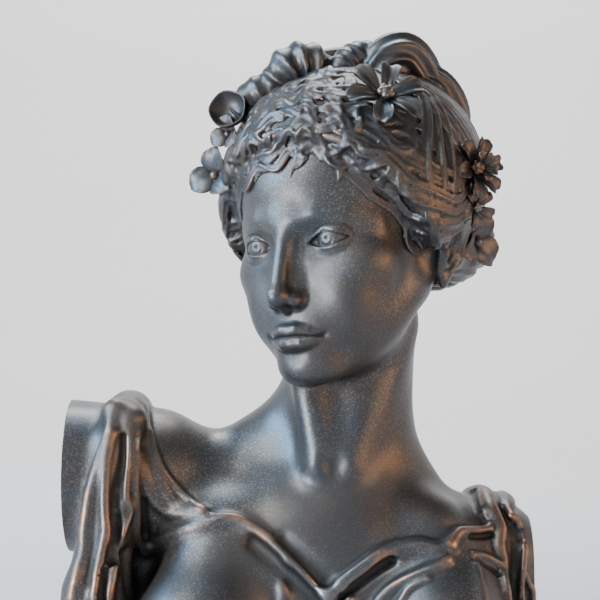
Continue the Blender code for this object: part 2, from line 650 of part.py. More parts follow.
def flower(clay, foot, middle, facing, radius, petals, cup):
    """Petals round a button on a stalk, in the figure's frame. Without petals it is a bell."""
    facing = Vector(facing).normalized()
    middle = Vector(middle)
    clay.limb(tuple(foot), tuple(middle - facing * 2.0), 7.0, 5.0, 2.0)
    if petals == 0:
        clay.egg(tuple(middle - facing * radius * 0.4), (radius * 0.95,) * 3, 1.5)
        clay.egg(tuple(middle + facing * radius * 0.4), (radius * 0.8,) * 3, 1.0, how=carved)
        return
    side = facing.orthogonal().normalized()
    for i in range(petals):
        turn = Matrix.Rotation(2.0 * math.pi * i / petals, 3, facing)
        out = (turn @ side + facing * cup).normalized()
        across = facing.cross(out).normalized()
        over = out.cross(across)
        axes = np.array([out, across, over]).T
        centre = middle + out * radius * 0.55
        clay.egg(tuple(centre), (radius * 0.46, radius * 0.34, max(3.0, radius * 0.13)), 1.5, turn=axes)
    clay.egg(tuple(middle + facing * radius * 0.12), (radius * 0.22,) * 3, 1.5)


def flowers(clay, places):
    for place, (_, _, radius, petals, cup, _) in zip(places, FLOWERS):
        flower(clay, *place, radius, petals, cup)


def flower_places():
    """For each flower its foot in the hair, its middle and the way it faces, in the figure's frame."""
    q = to_head(np.array([place for place, *_ in FLOWERS], float)) - HAIR_MIDDLE
    azimuths = np.degrees(np.arctan2(q[:, 0], -q[:, 1]))
    elevations = np.degrees(np.arctan2(q[:, 2], np.hypot(q[:, 0], q[:, 1])))
    feet = from_head(hair_points(azimuths, elevations, -2.0))
    away = feet - from_head(HAIR_MIDDLE)
    away /= np.linalg.norm(away, axis=1, keepdims=True)
    places = []
    for foot, out, (_, stand, _, _, _, facing) in zip(feet, away, FLOWERS):
        places.append((foot, foot + out * (stand + 2.0), out if facing is None else np.array(facing)))
    return places


def hair(points, lines):
    """Signed distance to the hair alone, in the figure's frame."""
    clay = Clay(points)
    clay.d = hair_mass(to_head(points))
    for line, radii, fillet in lines:
        clay.trail(line, radii, fillet)
    return clay.d


class Sculpture:
    """The whole bust as one field, with its folds, locks and flowers worked out once."""

    def __init__(self):
        self.ridges = on_cloth(RIDGES) + back_lines()
        self.hollows = on_cloth(HOLLOWS)
        self.outlines = (front_outline(), np.array(BACK_OUTLINE, float))
        self.locks = hair_lines()
        self.places = flower_places()

    def gowned(self, points):
        """Signed distance to the figure in her gown, without hair and flowers."""
        clay = Clay(points)
        clay.d = blank_gown(points)
        close = np.abs(clay.d) < 14.0
        front = close & (points[:, 1] < SIDE_SEAM)
        back = close & (points[:, 1] >= SIDE_SEAM)
        eye = np.array(VIEWER)
        on_plane = eye + (points[front] - eye) * (-eye[1] / (points[front, 1:2] - eye[1]))
        sides = ((front, on_plane, self.outlines[0]), (back, points[back], self.outlines[1]))
        for near, places, outline in sides:
            sheet = np.maximum(clay.d[near] - CLOTH, outside(places[:, ::2], outline) * 0.9)
            clay.d[near] = melted(clay.d[near], sheet, 1.0)
        for line, radii, fillet in self.ridges:
            clay.trail(line, radii, fillet)
        for line, radii, fillet in self.hollows:
            clay.trail(line, radii, fillet, how=carved)
        return clay

    def __call__(self, points):
        clay = self.gowned(points)
        upper = points[:, 2] > 250.0
        crown = Clay(points[upper])
        crown.d = hair(points[upper], self.locks)
        flowers(crown, self.places)
        clay.d[upper] = melted(clay.d[upper], crown.d, 3.0)
        return clay.d


class Balls:
    """Takes the same lumps as Clay and puts balls in their places, as a rough shape."""

    def __init__(self):
        self.places = []
        self.frame = Matrix.Identity(4)

    def ball(self, centre, radii):
        place = self.frame @ Matrix.Translation(centre) @ Matrix.Diagonal((*radii, 1.0))
        self.places.append(np.array(place))

    def work(self, how, shape, middle, reach, k):
        pass

    def egg(self, centre, radii, k, turn=None, how=melted):
        if how is melted and max(radii) > 7.0:
            self.ball(centre, [max(r, 7.0) for r in radii])

    def limb(self, a, b, ra, rb, k, how=melted):
        if how is carved or max(ra, rb) < 7.0:
            return
        a, b = Vector(a), Vector(b)
        steps = max(2, int(2.0 * (b - a).length / min(ra, rb)) + 2)
        for i in range(steps):
            f = i / (steps - 1)
            self.ball(a.lerp(b, f), (ra + (rb - ra) * f,) * 3)

    def trail(self, points, radii, k, how=melted):
        for i in range(len(points) - 1):
            self.limb(points[i], points[i + 1], radii[i], radii[i + 1], k, how)

    def mesh(self, name):
        """One mesh that repeats a round ball in every place."""
        bm = bmesh.new()
        bmesh.ops.create_icosphere(bm, subdivisions=3, radius=1.03)
        points = np.array([(*v.co, 1.0) for v in bm.verts])
        faces = np.array([[v.index for v in f.verts] for f in bm.faces])
        bm.free()
        co = np.vstack([(points @ place.T)[:, :3] for place in self.places])
        corners = np.vstack([faces + i * len(points) for i in range(len(self.places))])
        mesh = bpy.data.meshes.new(name)
        mesh.from_pydata(co.tolist(), [], corners.tolist())
        return mesh


def head_place():
    return Matrix.Translation(HEAD_PLACE) @ Matrix(HEAD_AXES.tolist()).to_4x4()


def rough_figure(places):
    """Overlapping balls about where the figure is."""
    balls = Balls()
    body(balls)
    bunched_cloth(balls)
    for line, first, last in ROLLS:
        balls.trail(line, np.linspace(first, last, len(line)) * 0.8, 1)
    flowers(balls, places)
    balls.frame = head_place()
    head(balls)
    hair_volumes(balls)
    obj = bpy.data.objects.new("bronze_bust", balls.mesh("bronze_bust"))
    bpy.context.scene.collection.objects.link(obj)
    return obj


def swapped(obj):
    """The object's mesh becomes what its modifiers make of it."""
    graph = bpy.context.evaluated_depsgraph_get()
    mesh = bpy.data.meshes.new_from_object(obj.evaluated_get(graph))
    obj.modifiers.clear()
    old = obj.data
    obj.data = mesh
    bpy.data.meshes.remove(old)


def remeshed(obj, voxel):
    """The object's mesh as one closed skin of even faces, voxel wide."""
    modifier = obj.modifiers.new("one_skin", "REMESH")
    modifier.mode = "VOXEL"
    modifier.voxel_size = voxel
    swapped(obj)


def coordinates(mesh):
    co = np.empty(len(mesh.vertices) * 3, np.float32)
    mesh.vertices.foreach_get("co", co)
    return co.reshape(-1, 3).astype(float)


def put(mesh, co):
    mesh.vertices.foreach_set("co", co.astype(np.float32).ravel())
    mesh.update()


def normals_of(mesh):
    n = np.empty(len(mesh.vertices) * 3, np.float32)
    mesh.vertex_normals.foreach_get("vector", n)
    return n.reshape(-1, 3).astype(float)


def edges_of(mesh):
    edges = np.empty(len(mesh.edges) * 2, np.int32)
    mesh.edges.foreach_get("vertices", edges)
    return edges.reshape(-1, 2)


def neighbours_mean(co, edges):
    """The mean of each point's neighbours."""
    count = np.bincount(edges.ravel(), minlength=len(co))
    total = np.empty_like(co)
    for axis in range(3):
        total[:, axis] = np.bincount(edges[:, 0], co[edges[:, 1], axis], len(co))
        total[:, axis] += np.bincount(edges[:, 1], co[edges[:, 0], axis], len(co))
    return total / np.maximum(count, 1)[:, None]


def creased(co):
    """The shoulders, chest and cheeks of the rough figure, where its balls meet in creases."""
    local = to_head(co)
    cheeks = (local[:, 1] < -40.0) & (np.abs(local[:, 2] + 40.0) < 60.0) & (np.abs(local[:, 0]) < 60.0)
    return (co[:, 2] < 240.0) | cheeks


def softened(obj, chosen, rounds):
    """Evens out a skin where chosen says so of its points."""
    edges = edges_of(obj.data)
    co = coordinates(obj.data)
    share = 0.5 * chosen(co)[:, None]
    for _ in range(rounds):
        co += share * (neighbours_mean(co, edges) - co)
    put(obj.data, co)


def settle(obj, field, passes, slide=0.4, calm=0):
    """Moves the skin onto the zero of a field, evening out its faces as it goes.
    calm rounds of averaging keep neighbours from crossing in a crease."""
    mesh = obj.data
    edges = edges_of(mesh)
    co = coordinates(mesh)
    for _ in range(passes):
        n = normals_of(mesh)
        for _ in range(calm):
            n = 0.4 * n + 0.6 * neighbours_mean(n, edges)
            n /= np.maximum(np.linalg.norm(n, axis=1, keepdims=True), 1e-6)
        co -= n * np.clip(field(co), -6.0, 6.0)[:, None] * 0.9
        drift = neighbours_mean(co, edges) - co
        drift -= n * (drift * n).sum(1)[:, None]
        co += slide * drift
        put(mesh, co)
    n = normals_of(mesh)
    co -= n * np.clip(field(co), -2.0, 2.0)[:, None]
    put(mesh, co)


def thinned(obj, triangles):
    """Fewer triangles, kept where the form needs them."""
    modifier = obj.modifiers.new("fewer_faces", "DECIMATE")
    modifier.ratio = triangles / sum(len(f.vertices) - 2 for f in obj.data.polygons)
    swapped(obj)


def cut_flat(obj):
    """Cuts the bust off flat below and at both arms, and closes the cuts."""
    bm = bmesh.new()
    bm.from_mesh(obj.data)
    cuts = [
        ((0.0, 0.0, 0.0), (0.0, 0.0, -1.0)),
        ((-RAISED_ARM_CUT, 0.0, 0.0), (-1.0, 0.0, 0.0)),
        ((LOWERED_ARM_CUT, 0.0, 0.0), (1.0, 0.0, 0.0)),
    ]
    for point, away in cuts:
        whole = bm.verts[:] + bm.edges[:] + bm.faces[:]
        bmesh.ops.bisect_plane(bm, geom=whole, dist=1e-3, plane_co=point, plane_no=away, clear_outer=True)
        rim = [e for e in bm.edges if e.is_boundary]
        bmesh.ops.holes_fill(bm, edges=rim)
    bmesh.ops.triangulate(bm, faces=bm.faces[:])
    bmesh.ops.dissolve_degenerate(bm, dist=0.02, edges=bm.edges[:])
    bmesh.ops.triangulate(bm, faces=[f for f in bm.faces if len(f.verts) > 3])
    bmesh.ops.recalc_face_normals(bm, faces=bm.faces[:])
    bm.to_mesh(obj.data)
    bm.free()


def bronze():
    material = bpy.data.materials.new("dark_bronze")
    material.use_nodes = True
    shader = material.node_tree.nodes["Principled BSDF"]
    shader.inputs["Base Color"].default_value = BRONZE_COLOUR
    shader.inputs["Metallic"].default_value = BRONZE_METALLIC
    shader.inputs["Roughness"].default_value = BRONZE_ROUGHNESS
    return material


def main():
    for obj in list(bpy.data.objects):
        bpy.data.objects.remove(obj)
    sculpture = Sculpture()
    bust = rough_figure(sculpture.places)
    remeshed(bust, ROUGH_VOXEL)
    softened(bust, creased, 14)
    settle(bust, sculpture, 8, slide=0.5, calm=3)
    remeshed(bust, FINE_VOXEL)
    settle(bust, sculpture, 5)
    thinned(bust, TRIANGLES)
    cut_flat(bust)
    bust.data.transform(Matrix.Scale(GRAIN, 4))
    bust.data.materials.append(bronze())
    bust.data.shade_smooth()
    collection = bpy.data.collections.new("bronze_female_statue")
    bpy.context.scene.collection.children.link(collection)
    collection.objects.link(bust)
    bpy.context.scene.collection.objects.unlink(bust)


if __name__ == "__main__":
    main()
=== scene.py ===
"""Looks of the bronze bust of a young woman: skin, gown, hair, flowers, patina, light and camera.

The bust is modelled in grains, which are shares of her head's height, and then set in metres in the
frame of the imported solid. She faces -Y and +Z is up.
"""

import math

import bmesh
import bpy
import numpy as np
from mathutils import Euler, Matrix, Vector


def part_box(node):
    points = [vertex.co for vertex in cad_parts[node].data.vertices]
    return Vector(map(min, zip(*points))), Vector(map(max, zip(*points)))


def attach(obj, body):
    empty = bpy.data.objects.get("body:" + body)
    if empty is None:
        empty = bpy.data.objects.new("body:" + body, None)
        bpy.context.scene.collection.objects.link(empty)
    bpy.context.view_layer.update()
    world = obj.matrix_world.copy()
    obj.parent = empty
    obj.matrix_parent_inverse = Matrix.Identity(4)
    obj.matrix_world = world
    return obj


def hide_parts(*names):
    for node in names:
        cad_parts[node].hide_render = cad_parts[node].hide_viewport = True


bl_info = {
    "name": "Bronze bust",
    "version": (1, 0, 0),
    "blender": (4, 5, 0),
    "location": "View3D > Sidebar > Bronze bust",
    "description": "Builds the skin, gown, hair and flowers of a cast bronze bust",
    "category": "Add Mesh",
}

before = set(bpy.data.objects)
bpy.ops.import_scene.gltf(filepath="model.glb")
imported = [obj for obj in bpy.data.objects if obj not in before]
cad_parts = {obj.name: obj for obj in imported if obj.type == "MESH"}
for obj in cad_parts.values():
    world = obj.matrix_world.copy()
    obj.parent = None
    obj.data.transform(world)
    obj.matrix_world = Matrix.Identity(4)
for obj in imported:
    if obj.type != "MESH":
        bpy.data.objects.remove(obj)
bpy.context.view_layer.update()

# Where the bust is cut flat, in grains, and the length of one grain in metres.
RAISED_ARM_CUT = 200.0
LOWERED_ARM_CUT = 155.0
BUST_LOW, BUST_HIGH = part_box("bronze_bust")
GRAIN = (BUST_HIGH[0] - BUST_LOW[0]) / (RAISED_ARM_CUT + LOWERED_ARM_CUT)

# The head's own frame: its origin lies between the ears at the level of the eyes, and it faces -Y.
HEAD_PLACE = (18.0, 0.0, 352.0)
HEAD_TURN = -36.0
HEAD_LEAN = -6.0


def egg(p, centre, radii, turn=None):
    """Signed distance to an ellipsoid. turn holds its axes as columns."""
    q = p - np.array(centre)
    if turn is not None:
        q = q @ turn
    r = np.array(radii, float)
    near = np.linalg.norm(q / r, axis=1)
    slope = np.linalg.norm(q / r**2, axis=1)
    return near * (near - 1.0) / np.maximum(slope, 1e-6)


def limb(p, a, b, ra, rb):
    """Signed distance to a rod from a to b, whose radius goes from ra to rb."""
    a = np.array(a, float)
    ab = np.array(b, float) - a
    along = np.clip((p - a) @ ab / (ab @ ab), 0.0, 1.0)
    return np.linalg.norm(p - a - along[:, None] * ab, axis=1) - (ra + (rb - ra) * along)


def unit(vectors, least=1e-6):
    """Vectors brought to a length of one, unless they are shorter than least."""
    return vectors / np.maximum(np.linalg.norm(vectors, axis=-1, keepdims=True), least)


def melted(a, b, k):
    """Both shapes together, with a fillet about k wide."""
    h = np.clip(0.5 + 0.5 * (b - a) / k, 0.0, 1.0)
    return b * (1.0 - h) + a * h - k * h * (1.0 - h)


def carved(a, b, k):
    """Shape a with b taken out of it, and the edge rounded by about k."""
    return -melted(-a, b, k)


class Clay:
    """Signed distances of a shape at a set of points, worked up lump by lump."""

    def __init__(self, points):
        self.p = points
        self.d = np.full(len(points), 1000.0)

    def work(self, how, shape, middle, reach, k):
        """Melts in or carves out a shape at the points within reach of its middle."""
        near = np.sum((self.p - np.array(middle)) ** 2, axis=1) < (reach + 2.0 * k + 12.0) ** 2
        if near.any():
            self.d[near] = how(self.d[near], shape(self.p[near]), k)

    def egg(self, centre, radii, k, turn=None, how=melted):
        self.work(how, lambda p: egg(p, centre, radii, turn), centre, max(radii), k)

    def limb(self, a, b, ra, rb, k, how=melted):
        middle = (np.array(a, float) + np.array(b, float)) / 2.0
        reach = np.linalg.norm(np.array(a) - middle) + max(ra, rb)
        self.work(how, lambda p: limb(p, a, b, ra, rb), middle, reach, k)

    def trail(self, points, radii, k, how=melted):
        """A rod along a line of points, with a radius at each."""
        points = np.array(points, float)
        middle = (points.min(0) + points.max(0)) / 2.0
        reach = np.linalg.norm(points - middle, axis=1).max() + max(radii)

        def shape(p):
            parts = [
                limb(p, points[i], points[i + 1], radii[i], radii[i + 1])
                for i in range(len(points) - 1)
            ]
            return np.min(parts, axis=0)

        self.work(how, shape, middle, reach, k)


def head_matrix():
    """The head's axes in the figure, as columns."""
    turn = Euler((0.0, 0.0, math.radians(HEAD_TURN))).to_matrix()
    lean = Euler((0.0, math.radians(HEAD_LEAN), 0.0)).to_matrix()
    return np.array(lean @ turn)


HEAD_AXES = head_matrix()


def to_head(p):
    """Points of the figure in the head's own frame."""
    return (p - np.array(HEAD_PLACE)) @ HEAD_AXES


def from_head(p):
    """Points of the head's own frame in the figure."""
    return np.asarray(p, float) @ HEAD_AXES.T + np.array(HEAD_PLACE)


# The middles and radii of the main lumps of the skull and the face.
SKULL = ((0, 4, 28), (75, 90, 76))
FACE = ((0, -32, -28), (61, 57, 75))


def skull(clay):
    clay.egg(*SKULL, 30)
    clay.egg((0, -26, 36), (62, 62, 56), 18)
    clay.egg(*FACE, 20)


def jaw_and_cheeks(clay):
    for side in (1, -1):
        clay.limb((side * 47, -12, -42), (side * 14, -70, -88), 15, 14, 18)
        clay.limb((side * 58, 11, -14), (side * 47, 4, -38), 13, 12, 14)
        clay.egg((side * 42, -55, -20), (22, 20, 18), 18)
        clay.egg((side * 31, -62, -48), (20, 21, 25), 16)
        brow = [(side * 8, -84, 14), (side * 24, -81, 18), (side * 42, -70, 17), (side * 56, -54, 9)]
        clay.trail(brow, (5, 5, 4, 3), 12)
    clay.egg((0, -77, -90), (17, 15.5, 14), 11)
    clay.egg((0, -75, -60), (26, 19, 24), 14)
    clay.egg((0, -84, 16), (12, 8, 12), 10)


# Her left eyeball's middle and radius, the thickness of its lid, half the width of the opening, how
# far the lids rise and drop between its corners, and their tilt in degrees. The iris stands a little
# above the eyeball's middle, so that the upper lid covers its top.
EYE = (31.5, -69.5, -1.0)
EYE_RADIUS = 13.5
LID = 1.7
EYE_HALF_WIDTH = 15.0
UPPER_LIFT = 6.2
LOWER_DROP = 4.6
LID_TILT = 3.0
IRIS_RADIUS = 5.6
IRIS_RISE = 1.9


def lid_circle(lift):
    """Radius of the circle whose arc over the eye's width rises by lift."""
    return (EYE_HALF_WIDTH**2 + lift**2) / (2.0 * lift)


def eye_opening(p):
    """Signed distance, seen from the front, to the almond between the lids of her left eye."""
    tilt = math.radians(LID_TILT)
    x = p[:, 0] - EYE[0]
    z = p[:, 2] - EYE[2]
    u = x * math.cos(tilt) + z * math.sin(tilt)
    v = z * math.cos(tilt) - x * math.sin(tilt)
    over, under = lid_circle(UPPER_LIFT), lid_circle(LOWER_DROP)
    upper = np.hypot(u, v + over - UPPER_LIFT) - over
    lower = np.hypot(u, v - under + LOWER_DROP) - under
    return np.maximum(upper, lower)


def eyes(clay):
    """Sockets, then lids as a shell over each eyeball with an almond opening."""
    for side in (1, -1):
        centre = (side * EYE[0], EYE[1], EYE[2])
        clay.egg((side * 31, -96, 0), (21, 14.4, 12), 9, how=carved)

        def lids(p, side=side, centre=centre):
            q = p * np.array((side, 1, 1))
            opening = np.maximum(eye_opening(q), p[:, 1] + 62.0)
            ball = egg(p, centre, (EYE_RADIUS + LID,) * 3)
            return np.maximum(ball, -opening)

        def opening(p, side=side):
            return np.maximum(eye_opening(p * np.array((side, 1, 1))), p[:, 1] + 70.0)

        def iris(p, side=side):
            """A fine ring cut round the iris."""
            out = np.hypot(p[:, 0] - side * EYE[0], p[:, 2] - EYE[2] - IRIS_RISE)
            front = p[:, 1] - EYE[1] + EYE_RADIUS
            return np.hypot(out - IRIS_RADIUS, front - 0.6) - 0.6

        clay.work(melted, lids, centre, EYE_RADIUS + 4, 2.5)
        clay.work(carved, opening, centre, EYE_RADIUS + 18, 0.8)
        clay.egg(centre, (EYE_RADIUS,) * 3, 0.4)
        clay.egg((side * 28.5, EYE[1] + 6.5, EYE[2]), (17, 17.3, 9.5), 0.4)
        clay.egg((side * 18.5, -75.5, -2.0), (4.5, 4.5, 3.5), 2.0)
        clay.work(carved, iris, centre, EYE_RADIUS + 4, 0.5)
        pupil = (side * EYE[0], EYE[1] - EYE_RADIUS, EYE[2] + IRIS_RISE)
        clay.egg(pupil, (1.7, 1.3, 1.7), 1.0, how=carved)


def nose(clay):
    clay.limb((0, -80, 2), (0, -89, -36), 7, 10.5, 8)
    clay.limb((0, -87, 10), (0, -105, -36), 5.6, 6.0, 6)
    clay.egg((0, -104.5, -38.0), (6.6, 7.2, 6.6), 7)
    for side in (1, -1):
        clay.egg((side * 9.4, -95, -41.5), (4.4, 7.4, 5.0), 5)
    clay.limb((0, -106, -42.5), (0, -96, -47.0), 3.2, 3.4, 2.5)
    for side in (1, -1):
        clay.egg((side * 6.4, -100, -47.8), (2.9, 5.2, 3.2), 1.5, how=carved)


def mouth(clay):
    upper = [(0, -94.6, -63.0), (5.5, -94.8, -62.2), (13, -91.2, -64.2), (21, -84.8, -67.2)]
    lower = [(0, -92.4, -72.2), (7, -91.8, -72.0), (14, -88.6, -70.4), (20, -84.8, -68.4)]
    parting = [(0, -98.0, -67.4), (6, -97.2, -67.0), (13, -93.4, -67.5), (23, -85.4, -68.0)]
    for side in (1, -1):
        turn = np.array((side, 1, 1))
        clay.trail(np.array(upper) * turn, (4.2, 4.4, 3.6, 1.6), 3)
        clay.trail(np.array(lower) * turn, (5.6, 5.2, 4.0, 1.8), 3)
    for side in (1, -1):
        turn = np.array((side, 1, 1))
        clay.trail(np.array(parting) * turn, (0.9, 0.9, 0.8, 0.8), 1.4, how=carved)
        clay.egg((side * 25.5, -88, -68), (3, 3, 3), 4, how=carved)
    clay.limb((0, -102.5, -51), (0, -102.5, -58), 1.8, 2.2, 3, how=carved)
    clay.egg((0, -99.5, -82), (15, 6, 4), 6, how=carved)


# The ear's middle, how far it flares and leans back in degrees, and the lines of its rim and inner
# fold as (outwards, backwards, upwards).
EAR = (71.0, 12.0, -14.0)
EAR_FLARE = 20.0
EAR_TILT = 15.0
EAR_RIM = [(2, -4, 0), (4, -12, 9), (6, -9, 22), (8, 2, 28), (11, 13, 23), (12, 16, 10), (11, 14, -3),
           (8, 9, -14), (5, 3, -21)]
EAR_FOLD = [(7, 9, 17), (8, 9, 5), (7, 6, -7), (5, 0, -12), (4, -6, -11)]


def ears(clay):
    for side in (1, -1):
        turns = (0.0, math.radians(side * EAR_TILT), math.radians(side * EAR_FLARE))
        turn = np.array(Euler(turns).to_matrix())

        def place(point, side=side, turn=turn):
            return np.array(point) * (side, 1, 1) @ turn.T + np.array((side * EAR[0], EAR[1], EAR[2]))

        clay.egg(tuple(place((1, 2, 1))), (5.5, 15, 26), 4, turn=turn)
        clay.trail([place(point) for point in EAR_RIM], [2.8] * 6 + [2.6, 2.8, 3.2], 1.6)
        clay.trail([place(point) for point in EAR_FOLD], (1.6, 2.2, 2.2, 2.4, 2.2), 1.8)
        clay.egg(tuple(place((4, 2, -23))), (4.0, 6.5, 7.5), 3, turn=turn)
        clay.egg(tuple(place((4.5, -9.5, -4))), (3.0, 3.4, 5.0), 2, turn=turn)
        clay.egg(tuple(place((8, -1, -3))), (7.0, 6.5, 8.0), 2, turn=turn, how=carved)


def body(clay):
    """Neck, chest, shoulders, arms and breasts without the gown."""
    clay.egg((-4, 26, 40), (122, 84, 150), 30)
    clay.egg((-6, 8, 116), (100, 64, 66), 30)
    clay.limb((13, 18, 170), (17, 22, 300), 49, 50, 24)
    clay.limb((14, 36, 216), (78, 38, 112), 32, 34, 26)
    clay.limb((-6, 40, 214), (-92, 34, 154), 32, 38, 28)
    clay.limb((118, 26, 101), (148, 22, -80), 52, 44, 22)
    clay.limb((-140, 26, 168), (-300, 6, 173), 54, 66, 26)
    clay.limb((-150, 34, 120), (-118, 34, -20), 34, 40, 26)
    for x in (-94, 84):
        clay.egg((x, -42, 52), (52, 52, 52), 26)
        clay.limb((x, -40, 68), (x * 0.92, -20, 132), 34, 22, 28)
    clay.egg((-4, -20, 0), (112, 64, 44), 30)
    clay.limb((50, 0, 288), (12, -30, 186), 12, 9, 22)
    clay.limb((-26, -14, 286), (-8, -32, 186), 11, 9, 20)
    clay.egg((2, -47, 184), (8, 8, 9), 9, how=carved)


def head(clay):
    skull(clay)
    jaw_and_cheeks(clay)
    eyes(clay)
    nose(clay)
    mouth(clay)
    ears(clay)


# How far from the head's middle its shapes are worked out.
HEAD_REACH = 190.0


def bare_figure(points):
    """Signed distance to the figure without hair, flowers and gown."""
    clay = Clay(points)
    body(clay)
    local = to_head(points)
    near = (local**2).sum(1) < HEAD_REACH**2
    under_hair = Clay(local[near])
    head(under_hair)
    clay.d[near] = melted(clay.d[near], under_hair.d, 12.0)
    return clay.d


def bunched_cloth(clay):
    """The cloth that hangs in front of her raised arm."""
    clay.limb((-158, -24, 208), (-176, -32, 84), 14, 23, 12)
    clay.limb((-176, -32, 84), (-176, -20, -30), 23, 30, 12)


def blank_gown(points):
    """Signed distance to the bare figure with the bunched cloth."""
    clay = Clay(points)
    clay.d = bare_figure(points)
    bunched_cloth(clay)
    return clay.d


# A viewer stands in front of her. Folds are given as (x, z) places on the upright plane
# through her neck, where the viewer sees them.
VIEWER = (-23.0, -1200.0, 306.0)


def seen(places, field, lift):
    """Places on the upright plane, put on the surface that the viewer sees there."""
    eye = np.array(VIEWER)
    way = np.array([(x, 0.0, z) for x, z in places]) - eye
    start = eye + way * 0.84
    way = unit(way)
    gone = np.zeros((len(way), 1))
    for _ in range(40):
        gone[:, 0] += 0.85 * np.clip(field(start + gone * way) - lift, -40.0, 40.0)
    return start + gone * way


def slope_of(points, field, step=1.0):
    """The way in which a field grows at some points."""
    slope = [(field(points + way) - field(points - way)) / (2.0 * step) for way in np.eye(3) * step]
    return unit(np.stack(slope, axis=1), 1e-3)


def pressed(points, field, lift):
    """Points moved straight onto the surface, or lift above it."""
    p = np.array(points, float)
    for _ in range(10):
        p -= slope_of(p, field) * np.clip(field(p) - lift, -15.0, 15.0)[:, None] * 0.8
    return p


def at_shares(points, shares):
    """Points of a smooth line through the given ones, at shares of its way from 0 to 1."""
    points = np.array(points, float)
    ends = np.vstack((2 * points[0] - points[1], points, 2 * points[-1] - points[-2]))
    t = np.clip(shares, 0.0, 1.0) * (len(points) - 1.0001)
    i = t.astype(int)
    f = (t - i)[:, None]
    p0, p1, p2, p3 = ends[i], ends[i + 1], ends[i + 2], ends[i + 3]
    bend = 2 * p0 - 5 * p1 + 4 * p2 - p3
    return p1 + 0.5 * f * (p2 - p0 + f * (bend + f * (3 * (p1 - p2) + p3 - p0)))


def curved(points, count):
    """Points along a smooth line through the given ones."""
    return at_shares(points, np.linspace(0.0, 1.0, count))


# The neckline: each seen point, from her right shoulder down to the middle and up to her left.
COWL_EDGE = [(-142, 222), (-139, 207), (-135, 190), (-128, 176), (-119, 164), (-108, 153), (-99, 144)]
RIGHT_HEM = [(-140, 115), (-128, 123), (-111, 130), (-94, 135), (-81, 139), (-69, 137), (-57, 130),
             (-44, 121), (-33, 111), (-20, 99), (-9, 88), (-1, 81)]
LEFT_HEM = [(-3, 81), (4, 88), (15, 97), (27, 106), (39, 114), (52, 120), (69, 122), (81, 119),
            (91, 122), (98, 128), (109, 131), (121, 132), (126, 140)]
RIGHT_OUTER = [(-164, 222), (-169, 205), (-176, 185), (-184, 157), (-188, 130), (-189, 112), (-196, 84)]
LEFT_OUTER = [(139, 133), (143, 126), (146, 118), (148, 106), (147, 89), (145, 70)]

# Ridges of the gown seen from the front: the line, how far its core stands above the cloth,
# the core's radius at both ends, and the width of its fillet.
RIDGES = [
    (RIGHT_OUTER + [(-201, 40), (-202, -20)], 3.0, 3.6, 5.0, 6.0),
    ([(-167, 203), (-170, 188), (-172, 174), (-173, 151), (-172, 129), (-176, 107), (-180, 77),
      (-182, 30), (-182, -20)], 4.5, 2.4, 4.0, 6.0),
    ([(-171, 134), (-168, 123), (-164, 113), (-166, 95), (-169, 77), (-170, 30), (-170, -20)],
     3.5, 1.6, 4.0, 5.0),
    ([(-155, 213), (-155, 185), (-156, 157), (-153, 144), (-158, 129), (-164, 113)], 3.5, 2.6, 2.0, 4.0),
    ([(-147, 222), (-148, 202), (-149, 185), (-149, 163), (-148, 140), (-148, 124), (-142, 115)],
     3.4, 3.2, 2.6, 5.0),
    (COWL_EDGE, 2.2, 2.6, 2.2, 3.0),
    ([(-141, 204), (-136, 183), (-129, 164), (-121, 152), (-111, 146), (-100, 146)], 2.0, 2.6, 2.2, 7.0),
    ([(-146, 186), (-140, 166), (-133, 151), (-122, 143), (-108, 142), (-97, 143)], 2.6, 2.6, 2.2, 7.0),
    (RIGHT_HEM, 2.6, 2.6, 4.2, 8.0),
    ([(-1, 81), (11, 89), (27, 100), (38, 109), (54, 115), (69, 118), (82, 116), (92, 118)],
     2.6, 3.6, 3.0, 8.0),
    (LEFT_HEM[:9], 1.6, 2.4, 2.4, 2.0),
    ([(92, 119), (98, 127), (104, 129), (113, 129), (122, 131), (126, 138)], 2.8, 4.4, 2.2, 5.0),
    ([(126, 140), (129, 130), (128, 119), (130, 112)], 3.0, 2.2, 2.0, 3.0),
    ([(123, 147), (128, 140), (132, 132), (131, 118), (133, 107), (133, 96), (136, 75), (138, 30),
      (138, -20)], 3.4, 2.6, 4.0, 5.0),
    ([(137, 140), (143, 138), (148, 128), (149, 116), (148, 104), (146, 88), (146, 74), (144, 30),
      (142, -20)], 4.2, 2.0, 3.6, 4.0),
    ([(150, 96), (153, 88), (156, 80), (158, 40)], 2.6, 1.6, 3.0, 4.0),
    ([(22, 40), (34, 70), (44, 83), (54, 90), (64, 95), (78, 101), (90, 107)], 3.6, 2.4, 2.0, 7.0),
    ([(46, 60), (58, 82), (65, 88), (74, 92)], 3.2, 1.8, 1.6, 4.0),
    ([(110, 111), (119, 110), (125, 107), (130, 104)], 3.4, 2.0, 2.4, 3.0),
    ([(-6, 78), (-10, 50), (-16, 20), (-20, -20)], 2.0, 3.0, 5.0, 8.0),
    ([(0, 78), (6, 48), (10, 18), (10, -20)], 2.0, 3.0, 5.0, 8.0),
    ([(10, 86), (26, 46), (36, 14), (40, -20)], 2.0, 2.4, 5.0, 8.0),
    ([(-34, 104), (-36, 64), (-44, 24), (-50, -20)], 1.5, 2.0, 5.0, 8.0),
    ([(112, 100), (118, 70), (118, 30), (114, -20)], 2.0, 2.0, 5.0, 8.0),
    ([(-98, 40), (-96, 10), (-94, -20)], 0.5, 2.0, 5.0, 9.0),
    ([(78, 40), (80, 10), (82, -20)], 0.5, 2.0, 5.0, 9.0),
]

